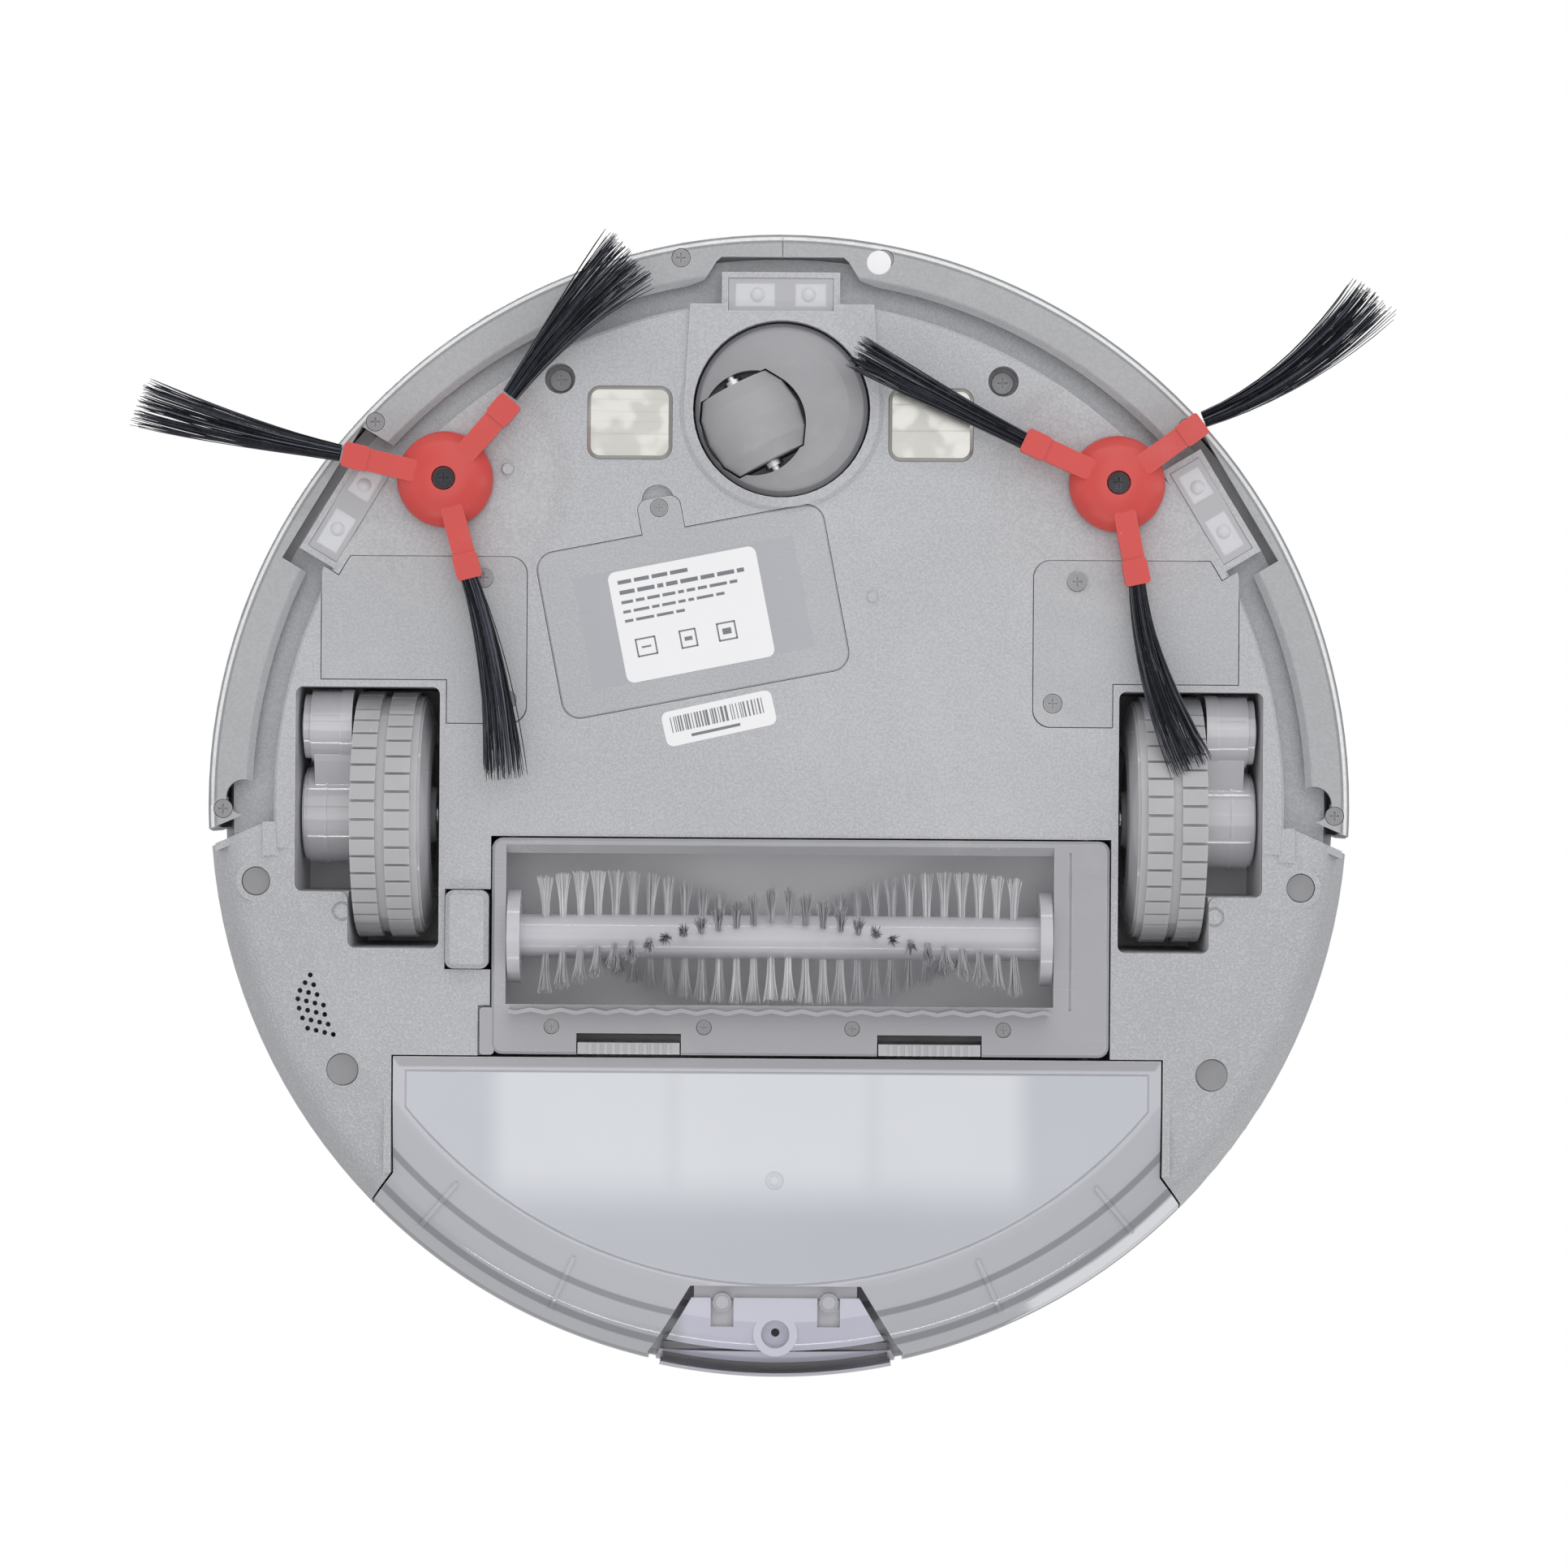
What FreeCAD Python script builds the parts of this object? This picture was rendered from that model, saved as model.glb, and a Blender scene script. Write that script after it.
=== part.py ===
"""Robot vacuum, standing on its wheels. Millimetres, +Z up, front towards -Y.

The origin is on the floor, under the body's axis.
"""
import FreeCAD
import Part
import math
import os

V = FreeCAD.Vector
os.makedirs("parts", exist_ok=True)

# body
BODY_R = 162.7              # bumper's outer radius
SHELL_R = 162.3             # rear body's outer radius
DECK_Z = 12.0               # underside plane
DECK_T = 2.4                # pan floor thickness
WALL_T = 2.2
FLAT_R = 137.0              # rear underside is flat out to here
FRONT_R = 142.0             # front wall, behind the bumper
LEDGE_R = 154.2             # dust ledge above the bumper's flange
REAR_FACE_Y = 13.0          # rear body starts here, behind the front floor
SEAM_Z = 61.0               # top of the pan, the bin and the bumper
TOP_Z = 79.0
COVER_T = 2.4
# (r, z, rounding) of the rear body's outer edge, and the same of its inner wall from the top down
REAR_EDGE = [(FLAT_R, DECK_Z, 12.0), (155.0, 15.4, 9.0), (SHELL_R, 29.4, 14.0)]
REAR_INNER = [(SHELL_R - WALL_T, SEAM_Z), (SHELL_R - WALL_T, 30.0, 12.0), (154.0, 17.6, 7.0),
              (136.8, DECK_Z + DECK_T, 12.0), (0, DECK_Z + DECK_T)]

# bumper
BUMPER_TRAVEL = 4.0
END_X, BUMPER_END_Y = 151.2, 4.0
END_SLOPE = 0.42            # the bumper's end faces lean back by this slope
END_GAP = 4.7               # from the bumper's end to the rear body, along Y
LIP_Z = 14.0
BUMPER_SCREWS = [(-28.6, -153.8), (28.6, -153.8), (-114.3, -107.0), (114.3, -107.0),
                 (-156.4, 2.1), (156.4, 2.1)]
WINDOW_LOW, WINDOW_HIGH, WINDOW_HALF = 34.0, 50.0, 30.0     # infrared window: z, z, degrees each side

# caster
CASTER_Y = -111.2
CASTER_WELL_R = 24.9
CASTER_R = 14.0
CASTER_TRAIL = 8.8
POCKET_R = 14.7             # round pocket in the dome, over the wheel and the axle's ends
CASTER_TURN = 27.2          # degrees the axle is turned at rest

# side brushes
BRUSH_X = 94.3
BRUSH_Y = -90.7
HUB_R = 13.5
DISH_DEPTH = 0.95            # hollow in the underside round each brush
ARM_END_R = 29.0
ARM_W = 6.2
BRUSH_ANGLES = {"left": (49.4, 166.6, 285.2), "right": (36.2, 155.4, 281.6)}
TUFT_PATHS = {               # root, middle and tip of each tuft's centre line
    "left": (((-76.0, -114.0), (-61.5, -137.0), (-43.8, -153.5)),
             ((-123.2, -97.6), (-153.0, -103.0), (-181.0, -110.5)),
             ((-87.6, -64.4), (-80.5, -38.0), (-76.6, -8.5))),
    "right": (((118.0, -108.6), (143.0, -125.0), (165.2, -144.0)),
              ((67.8, -102.4), (43.5, -113.5), (19.5, -126.4)),
              ((99.6, -63.6), (108.0, -38.0), (115.8, -12.5))),
}

# drive wheels
WHEEL_R = 35.0
WHEEL_Y = 3.5
TYRE_IN, TYRE_OUT = 101.0, 119.5
TREAD_COUNT = 42            # blocks in each of two rows
TREAD_H, TREAD_GAP = 1.3, 0.8
ROW_W, GROOVE_W = 7.0, 2.6
PIVOT_Y, PIVOT_Z = -21.4, 27.0
WELL_IN, WELL_MID, WELL_OUT = 95.4, 121.0, 135.9
WELL_FRONT, WELL_STEP, WELL_REAR = -32.5, 25.2, 41.0
WELL_TOP = 71.4
MOTOR_WELL_TOP = 52.0

# main brush
ROLLER_Y, ROLLER_Z = 37.5, 20.0
ROLLER_R = 19.2
CORE_R = 6.2
TUFT_ROOT_R, TUFT_TIP_R = 1.2, 1.8
ROLLER_X0, ROLLER_X1 = -76.0, 77.0
COVER_X0, COVER_X1, COVER_Y0, COVER_Y1 = -80.3, 93.0, 9.7, 70.4
MOUTH_X0, MOUTH_X1, MOUTH_Y0, MOUTH_Y1 = -76.4, 77.4, 13.9, 56.4
# each bristle row's angle at the roller's middle, from -Y through down
ROW_STARTS = {"dark": (38.0,), "pale": (158.0, 278.0)}
ROW_SWEEP = 112.0            # each row turns this far on the way to its ends
TUFTS_PER_ROW = 28
LATCHES = {"left": (-56.0, -27.4), "right": (28.4, 57.0)}
GUARD_SCREWS = [(-63.4, 62.6), (-20.6, 62.6), (21.0, 62.7), (63.4, 62.8)]

# dustbin
BIN_HALF = 107.9
BIN_FRONT = 71.3
BIN_FLARE = 114.4
BIN_TRAVEL = 110.0
BUTTON_TRAVEL = 3.0
BUTTON_SCREW_Y = 149.0
BUTTON_PLAN = [(-24.0, 135.2), (24.0, 135.2), (36.2, 155.4), (36.2, 170.0),
               (-36.2, 170.0), (-36.2, 155.4)]
# opening in the pan for the bin
BAY_GAP = 0.5
BAY_HALF, BAY_FLARE = BIN_HALF + BAY_GAP, BIN_FLARE + BAY_GAP
BAY_PLAN = [(-BAY_HALF, 70.9), (BAY_HALF, 70.9), (BAY_HALF, 104.0), (BAY_FLARE, 112.6),
            (BAY_FLARE, 170.0), (-BAY_FLARE, 170.0), (-BAY_FLARE, 112.6), (-BAY_HALF, 104.0)]

# battery cover, turned about its centre
BATTERY_C = (-24.5, -54.2)
BATTERY_TURN = -11.0
BATTERY_L, BATTERY_W = 82.0, 47.5
TAB_X, TAB_Y = -4.0, -BATTERY_W / 2 - 3.4       # middle of its screw tab, in the cover's own axes

# fittings on the underside
CONTACTS = {"left": (-42.6, -107.1), "right": (42.0, -107.0)}
CONTACT_W, CONTACT_D = 24.0, 20.7
DECK_SCREWS = [(-62.3, -119.4), (62.3, -119.4)]
COVER_SCREWS = [(-83.4, -63.3), (-76.7, -29.0), (83.4, -63.3), (76.7, -29.0)]
BUMPS = [(25.9, -58.7), (-76.8, -93.9)]
REAR_HOLES = [(-147.0, 22.4, 4.1), (147.0, 22.4, 4.1), (-122.2, 75.2, 4.6), (122.2, 75.2, 4.6)]
SENSOR_TURN = 31.0           # degrees of the side sensors' long axis from Y
SENSORS = {"front": (-0.4, -143.4, 90.0),
           "left": (-121.2, -82.4, SENSOR_TURN),
           "right": (121.0, -83.4, -SENSOR_TURN)}
SENSOR_L, SENSOR_W = 29.6, 9.4
SPEAKER_X, SPEAKER_Y = -131.6, 55.7
# speaker holes: how many in each row, and how far along the row the first one stands
SPEAKER_ROWS = [(1, 0.9), (2, 0.15), (3, -0.6), (4, -1.0), (4, -1.0), (4, -0.75), (4, -0.3)]
FAN_X, FAN_Y = 58.0, -44.0
POWER_Y = -96.0


def box(x0, x1, y0, y1, z0, z1):
    return Part.makeBox(x1 - x0, y1 - y0, z1 - z0, V(x0, y0, z0))


def cyl(x, y, z0, z1, r):
    return Part.makeCylinder(r, z1 - z0, V(x, y, z0))


def cyl_x(x0, x1, y, z, r):
    return Part.makeCylinder(r, x1 - x0, V(x0, y, z), V(1, 0, 0))


def cone(x, y, z0, z1, r0, r1):
    return Part.makeCone(r0, r1, z1 - z0, V(x, y, z0))


def fuse(shapes):
    first = shapes[0]
    if len(shapes) == 1:
        return first
    return first.fuse(shapes[1:]).removeSplitter()


def cut(shape, tools):
    return shape.cut(tools)


def prism(points, z0, z1):
    wire = Part.makePolygon([V(x, y, z0) for x, y in points] + [V(points[0][0], points[0][1], z0)])
    return Part.Face(wire).extrude(V(0, 0, z1 - z0))


def outline(profile):
    """A closed wire through (r, z) points. A third value rounds that corner by its radius."""
    points = [V(p[0], 0, p[1]) for p in profile]
    edges, first, last = [], None, None
    for i, p in enumerate(profile):
        here, before, after = points[i], points[i - 1], points[(i + 1) % len(points)]
        entry = leave = here
        if len(p) == 3:
            back, ahead = (before - here).normalize(), (after - here).normalize()
            half = back.getAngle(ahead) / 2
            entry = here + back * (p[2] / math.tan(half))
            leave = here + ahead * (p[2] / math.tan(half))
            middle = here + (back + ahead).normalize() * (p[2] / math.sin(half) - p[2])
        if last is not None and last.distanceToPoint(entry) > 1e-6:
            edges.append(Part.makeLine(last, entry))
        if len(p) == 3:
            edges.append(Part.Arc(entry, middle, leave).toShape())
        first = entry if first is None else first
        last = leave
    if last.distanceToPoint(first) > 1e-6:
        edges.append(Part.makeLine(last, first))
    return Part.Wire(edges)


def revolve(profile, start=0.0, sweep=360.0):
    """Turn an (r, z) profile about the body's axis, starting at an angle from +X."""
    solid = Part.Face(outline(profile)).revolve(V(0, 0, 0), V(0, 0, 1), sweep)
    solid.rotate(V(0, 0, 0), V(0, 0, 1), start)
    return solid


def turned(shape, x, y, degrees):
    shape.rotate(V(x, y, 0), V(0, 0, 1), degrees)
    return shape


def pad(cx, cy, w, d, r, z0, z1, degrees=0.0, bevel=0.0):
    """A plate with round corners, and its lower edge broken by a bevel."""
    plate = box(cx - w / 2, cx + w / 2, cy - d / 2, cy + d / 2, z0, z1)
    upright = [e for e in plate.Edges if abs(e.BoundBox.ZLength - (z1 - z0)) < 1e-6]
    plate = plate.makeFillet(r, upright)
    if bevel > 0:
        low = [e for e in plate.Edges if e.BoundBox.ZMax < z0 + 1e-6]
        plate = plate.makeChamfer(bevel, low)
    return turned(plate, cx, cy, degrees)


def mirrored(shape):
    return shape.mirror(V(0, 0, 0), V(1, 0, 0))


def export(name, shape):
    shape.exportStep("parts/" + name + ".step")


def both(name, shape):
    """Write a piece of the left side, and its mirror image for the right."""
    export(name + "_left", shape)
    export(name + "_right", mirrored(shape))


def group(solids):
    return Part.makeCompound(solids)


def screw(x, y, z, head_r, length, shank_r=1.2, head_t=1.6):
    """A pan-head cross-slot screw, driven upwards, with its head's low face at z."""
    body = fuse([cyl(x, y, z, z + head_t, head_r), cyl(x, y, z + head_t, z + length, shank_r)])
    slot_l, slot_w, slot_d = head_r * 1.1, head_r * 0.26, head_t * 0.6
    slots = [box(x - slot_l / 2, x + slot_l / 2, y - slot_w / 2, y + slot_w / 2, z, z + slot_d),
             box(x - slot_w / 2, x + slot_w / 2, y - slot_l / 2, y + slot_l / 2, z, z + slot_d)]
    return cut(body, slots)


# ---------------------------------------------------------------- pan
def well_plan(grow=0.0):
    """Outline of the left wheel well: the wheel's slot, and the drive's wider half in front."""
    return [(-WELL_OUT - grow, WELL_FRONT - grow), (-WELL_IN + grow, WELL_FRONT - grow),
            (-WELL_IN + grow, WELL_REAR + grow), (-WELL_MID - grow, WELL_REAR + grow),
            (-WELL_MID - grow, WELL_STEP + grow), (-WELL_OUT - grow, WELL_STEP + grow)]


def rounded(shape, r):
    """Round a prism's upright corners."""
    height = shape.BoundBox.ZLength
    return shape.makeFillet(r, [e for e in shape.Edges if abs(e.BoundBox.ZLength - height) < 1e-6])


def end_line(x, gap=0.0):
    """Y of the bumper's leaning end face at a distance x from the middle."""
    return BUMPER_END_Y + END_SLOPE * (x - END_X) + gap


def rear_end_cut():
    """What lies in front of the rear body: the front floor's zone and the leaning end gaps."""
    side = prism([(FRONT_R + 2.0, -1), (170, -1), (170, end_line(170, END_GAP)),
                  (FRONT_R + 2.0, end_line(FRONT_R + 2.0, END_GAP))], 0, 80)
    return [box(-FRONT_R - 2.0, FRONT_R + 2.0, -1, REAR_FACE_Y, 0, 80), side, mirrored(side)]


def base_shell():
    rear = revolve([(0, DECK_Z)] + REAR_EDGE + [(SHELL_R, SEAM_Z)] + REAR_INNER, 0, 180)
    rear = cut(rear, rear_end_cut())
    front_wall = revolve([(FRONT_R - WALL_T, DECK_Z + DECK_T), (FRONT_R - 0.8, DECK_Z),
                          (FRONT_R, DECK_Z + 0.8), (FRONT_R, SEAM_Z), (FRONT_R - WALL_T, SEAM_Z)])
    ledge = revolve([(FRONT_R - 1, 20.0), (LEDGE_R, 20.0), (LEDGE_R, 21.6), (FRONT_R - 1, 21.6)])
    front = cut(fuse([front_wall, ledge]), [box(-170, 170, REAR_FACE_Y, 170, 0, 80)])
    floor = cyl(0, 0, DECK_Z, DECK_Z + DECK_T, FRONT_R - 0.8)
    floor = cut(floor, [box(-170, 170, REAR_FACE_Y, 170, 0, 80)])
    x0, x1 = FRONT_R + 2.0, SHELL_R - 3.4
    end_wall = prism([(x0, end_line(x0, END_GAP)), (x1, end_line(x1, END_GAP)),
                      (x1, end_line(x1, END_GAP) + WALL_T), (x0, end_line(x0, END_GAP) + WALL_T)],
                     17.0, SEAM_Z)
    end_wall = end_wall.common(cyl(0, 0, 0, 80, SHELL_R - 1.0))
    inner_wall = box(FRONT_R - 1.5, FRONT_R + 3.0, end_line(x0, END_GAP), REAR_FACE_Y + WALL_T,
                     DECK_Z + 0.6, SEAM_Z)
    end_wall = fuse([end_wall, inner_wall])
    parts = [floor, front, rear, end_wall, mirrored(end_wall)]

    # raised caster boss and the standing pads of the side sensors
    parts.append(cone(0, CASTER_Y, DECK_Z - 1.2, DECK_Z + 1, 27.4, 30.0))
    parts.append(prism([(-25.8, -140.6), (25.8, -140.6), (27.4, CASTER_Y), (-27.4, CASTER_Y)],
                       DECK_Z - 1.2, DECK_Z + 1))
    for x, y, turn in SENSORS.values():
        parts.append(block_round(x, y, turn, 1.6, 1.8, DECK_Z + 0.2, 22.0))
    for x, y in DECK_SCREWS:
        parts.append(cyl(x, y, DECK_Z, 26.0, 6.4))
    for x, y, r in REAR_HOLES:
        parts.append(cyl(x, y, DECK_Z + 2.4, 26.0, r + 1.6))
    # low walls round the bin's bay
    for side in (-1, 1):
        x0, x1 = sorted((side * BAY_HALF, side * (BAY_HALF + 2.0)))
        parts.append(box(x0, x1, 71.0, 104.0, DECK_Z, 58.0))
    shell = fuse(parts)

    holes = [cyl(0, CASTER_Y, 0, 40, CASTER_WELL_R)]
    well = rounded(prism(well_plan(), 0, 15), 2.2)
    holes += [well, mirrored(well)]
    holes.append(box(COVER_X0 - 0.5, COVER_X1 + 0.5, COVER_Y0 - 0.5, 71.5, 0, DECK_Z + DECK_T + 0.1))
    holes.append(box(-84.2, -80.0, 56.8, 71.0, 0, DECK_Z + 1.9))
    holes.append(prism(BAY_PLAN, 0, 80))
    holes.append(box(-93.7, -80.0, 24.2, 46.8, 0, 20))
    for x, y in CONTACTS.values():
        holes.append(pad(x, y, CONTACT_W, CONTACT_D, 3.6, 0, 20))
    for x, y, turn in SENSORS.values():
        holes.append(block_round(x, y, turn, 0.0, 0.0, 0, 20.4))
    for side in (-1, 1):
        holes.append(brush_dish(side))
        holes.append(cyl(side * BRUSH_X, BRUSH_Y, 0, 20, 3.4))
    for x, y in DECK_SCREWS:
        holes.append(cyl(x, y, 0, 20.6, 4.3))
        holes.append(cyl(x, y, 20, 27, 1.2))
    for x, y, r in REAR_HOLES:
        holes.append(cyl(x, y, 0, 22.0, r))
    # ring mark behind each well
    for x, y in ((-122.5, 30.7), (122.5, 30.7)):
        holes.append(cut(cyl(x, y, 0, DECK_Z + 0.6, 2.9), [cyl(x, y, 0, 20, 2.0)]))
    holes += battery_recess()
    for side in (-1, 1):
        cover = access_plan(0.15, DECK_Z - 1, DECK_Z + 1.5)
        holes.append(cover if side < 0 else mirrored(cover))
    for x, y in COVER_SCREWS:
        holes.append(cyl(x, y, 0, 20, 1.2))
    holes += speaker_holes()
    holes += side_vents()
    bumps = [cone(x, y, DECK_Z - 0.7, DECK_Z + 1.6, 1.4, 2.2) for x, y in BUMPS]
    return fuse([cut(shell, holes)] + bumps)


def block_round(x, y, turn, wider, longer, z0, z1):
    """A turned block of a sensor's size, made wider and longer on every side."""
    half_w, half_l = SENSOR_W / 2 + wider, SENSOR_L / 2 + longer
    return turned(box(x - half_w, x + half_w, y - half_l, y + half_l, z0, z1), x, y, turn)


def brush_dish(side):
    """Shallow dish in the underside round a side brush, with a soft edge."""
    profile = [(0, DECK_Z - 1), (39.0, DECK_Z - 1), (39.0, DECK_Z), (35.6, DECK_Z, 12.0),
               (30.4, DECK_Z + DISH_DEPTH, 12.0), (0, DECK_Z + DISH_DEPTH)]
    dish = revolve(profile)
    dish.translate(V(side * BRUSH_X, BRUSH_Y, 0))
    return dish


def access_plan(grow, z0, z1):
    """Left access cover's plate, with its notch round the wheel well."""
    big = pad(-100.0, -45.8, 57.8 + 2 * grow, 47.0 + 2 * grow, 5.0, z0, z1)
    notch = box(-140.0, -WELL_IN + 1.8 - grow, WELL_FRONT - 2.0 + grow, 0.0, z0 - 1, z1 + 1)
    corner = block_round(*SENSORS["left"], 2.4 - grow, 2.6 - grow, z0 - 1, z1 + 1)
    return cut(big, [notch, corner])


def battery_screw():
    """Where the screw of the battery cover's tab stands."""
    a = math.radians(BATTERY_TURN)
    u, v = TAB_X, TAB_Y - 3.2
    x, y = BATTERY_C
    return x + u * math.cos(a) - v * math.sin(a), y + u * math.sin(a) + v * math.cos(a)


def battery_recess():
    x, y = BATTERY_C
    plate = pad(x, y, BATTERY_L + 0.3, BATTERY_W + 0.3, 5.4, DECK_Z - 1, DECK_Z + 1.6, BATTERY_TURN)
    tab = pad(x + TAB_X, y + TAB_Y, 12.4, 12.4, 3.0, DECK_Z - 1, DECK_Z + 1.6)
    tab.rotate(V(x, y, 0), V(0, 0, 1), BATTERY_TURN)
    bore = pad(x, y, BATTERY_L - 5, BATTERY_W - 5, 4.0, 0, 20, BATTERY_TURN)
    notch = pad(x + TAB_X, y + TAB_Y - 5.2, 9.2, 9.2, 4.5, DECK_Z - 1, DECK_Z + 2.0)
    notch.rotate(V(x, y, 0), V(0, 0, 1), BATTERY_TURN)
    return [plate, tab, notch, bore, cyl(*battery_screw(), 0, 20, 1.3)]


def speaker_holes():
    """Twenty-two small round holes in a leaning oval."""
    across, down, r = (2.45, 0.55), (0.36, 2.62), 0.72
    holes = []
    for row, (count, start) in enumerate(SPEAKER_ROWS):
        for col in range(count):
            x = SPEAKER_X - 2.0 + (start + col) * across[0] + row * down[0]
            y = SPEAKER_Y - 7.5 + (start + col) * across[1] + row * down[1]
            holes.append(cyl(x, y, 0, 30, r))
    return holes


def side_vents():
    """Exhaust slots in the rear side walls."""
    slots = []
    for side in (-1, 1):
        for i in range(9):
            slot = turned(box(150.0, 170.0, -0.9, 0.9, 38.0, 54.0), 0, 0, 12.0 + 2.6 * i)
            slots.append(slot if side > 0 else mirrored(slot))
    return slots


# ---------------------------------------------------------------- top
def top_cover():
    edge_r, low = SHELL_R - 0.4, SEAM_Z + 0.6
    # a round groove is let into the slightly domed top
    outer = [(edge_r, low), (edge_r, 76.9, 10.0), (119.6, 78.2, 0.4), (119.2, 77.2, 0.3),
             (118.0, 77.2, 0.3), (117.6, 78.3, 0.4), (60.0, TOP_Z, 200.0), (0, TOP_Z)]
    inner = [(0, TOP_Z - COVER_T), (60.0, TOP_Z - COVER_T), (117.0, 75.4),
             (edge_r - COVER_T, 74.6, 8.0), (edge_r - COVER_T, low)]
    cover = revolve(outer + inner)
    return cut(cover, [cyl(0, POWER_Y, 70, 90, 14.0)])


# ---------------------------------------------------------------- bumper
def bumper_shell():
    outer = [(148.4, LIP_Z + 1.5), (150.2, LIP_Z, 0.8), (160.6, LIP_Z, 2.2), (161.2, 22.0, 8.0),
             (BODY_R, 38.0, 20.0), (BODY_R, SEAM_Z - 1.2), (BODY_R - 0.8, SEAM_Z - 0.2)]
    inner = [(BODY_R - 2.6, SEAM_Z - 0.2), (BODY_R - 2.6, 38.6, 18.0), (158.9, 23.0, 6.0),
             (158.3, LIP_Z + 2.3), (151.2, LIP_Z + 2.3), (149.2, LIP_Z + 3.4)]
    ring = revolve(outer + inner)
    for x, y in BUMPER_SCREWS:
        ring = ring.fuse(cyl(x, y, LIP_Z + 1.0, 19.2, 3.4))
    ends = prism([(0, end_line(0)), (170, end_line(170)), (170, 200), (0, 200)], 0, 80)
    holes = [ends, mirrored(ends)]
    for x, y in BUMPER_SCREWS:
        holes.append(cyl(x, y, 0, LIP_Z + 1.6, 2.7))
        holes.append(cyl(x, y, LIP_Z + 1, 20, 1.1))
    # room round the three sensors, over the bumper's whole travel
    notch = [(31.0, -144.2), (21.8, -147.8), (18.6, -153.0), (17.2, -154.2)]
    holes.append(prism([(-x, y) for x, y in notch] + notch[::-1], 0, 19.4))
    for key in ("left", "right"):
        holes.append(block_round(*SENSORS[key], 4.6, 6.8, 0, 24.0))
    for side in (-1, 1):
        holes.append(cyl(side * (END_X - 0.6), BUMPER_END_Y - 5.2, 0, 30, 5.0))
    seat = [(BODY_R - 1.4, WINDOW_LOW), (170, WINDOW_LOW), (170, WINDOW_HIGH), (BODY_R - 1.4, WINDOW_HIGH)]
    holes.append(revolve(seat, -90 - WINDOW_HALF, 2 * WINDOW_HALF))
    # seam at the middle of the lip
    holes.append(box(-0.2, 0.2, -170, -154.0, 0, LIP_Z + 0.7))
    return cut(ring, holes)


def ir_window():
    """Curved infrared window, a little smaller than its seat in the bumper."""
    low, high, half = WINDOW_LOW + 0.15, WINDOW_HIGH - 0.15, WINDOW_HALF - 0.1
    pane = [(BODY_R - 1.3, low), (BODY_R + 0.1, low), (BODY_R + 0.1, high), (BODY_R - 1.3, high)]
    return revolve(pane, -90 - half, 2 * half)


# ---------------------------------------------------------------- caster
def caster_axle_dir():
    a = math.radians(CASTER_TURN)
    return V(math.sin(a), math.cos(a), 0)


def caster_wheel_centre():
    a = math.radians(CASTER_TURN)
    return V(-CASTER_TRAIL * math.cos(a), CASTER_Y + CASTER_TRAIL * math.sin(a), CASTER_R)


def barrel(grow, half):
    """The wheel's barrel form along its axle."""
    wire = outline([(0, 0), (-half, 0), (-half, 10.2 + grow), (-half * 0.62, 12.9 + grow),
                    (0, CASTER_R + grow), (half * 0.62, 12.9 + grow), (half, 10.2 + grow), (half, 0)])
    solid = Part.Face(wire).revolve(V(0, 0, 0), V(1, 0, 0), 360)
    solid.rotate(V(0, 0, 0), V(0, 0, 1), 90 - CASTER_TURN)
    solid.translate(caster_wheel_centre())
    return solid


def along_axle(half, r):
    d = caster_axle_dir()
    c = caster_wheel_centre()
    return Part.makeCylinder(r, 2 * half, c - d * half, d)


def caster():
    dome = revolve([(0, 9.4), (12.0, 9.6), (19.0, 10.8), (23.0, 12.6), (24.3, 14.4), (24.3, 29.6), (0, 29.6)])
    dome.translate(V(0, CASTER_Y, 0))
    dome = dome.fuse(cyl(0, CASTER_Y, 29.0, 44.0, 3.0))
    centre = caster_wheel_centre()
    pocket = cyl(centre.x, centre.y, 0, CASTER_R + 5.0, POCKET_R)
    swivel = cut(dome, [barrel(0.5, 12.1), along_axle(16.4, 1.6), pocket])
    export("caster_swivel", swivel)
    collars = cut(along_axle(13.4, 2.7), [along_axle(11.9, 4.0)])
    export("caster_axle", fuse([along_axle(16.3, 1.6), collars]))
    export("caster_wheel", cut(barrel(0, 11.6), [along_axle(20, 1.65)]))
    socket = cyl(0, CASTER_Y, DECK_Z + DECK_T, 33.2, CASTER_WELL_R + 2.0)
    socket = socket.fuse(cyl(0, CASTER_Y, 32, 42.0, 6.0))
    socket = cut(socket, [cyl(0, CASTER_Y, 0, 30.6, CASTER_WELL_R), cyl(0, CASTER_Y, 0, 60, 3.06),
                          box(-30, 30, -150, SENSORS["front"][1] + SENSOR_W / 2 + 1.7, 0, 23.0)])
    export("caster_socket", socket)


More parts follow.
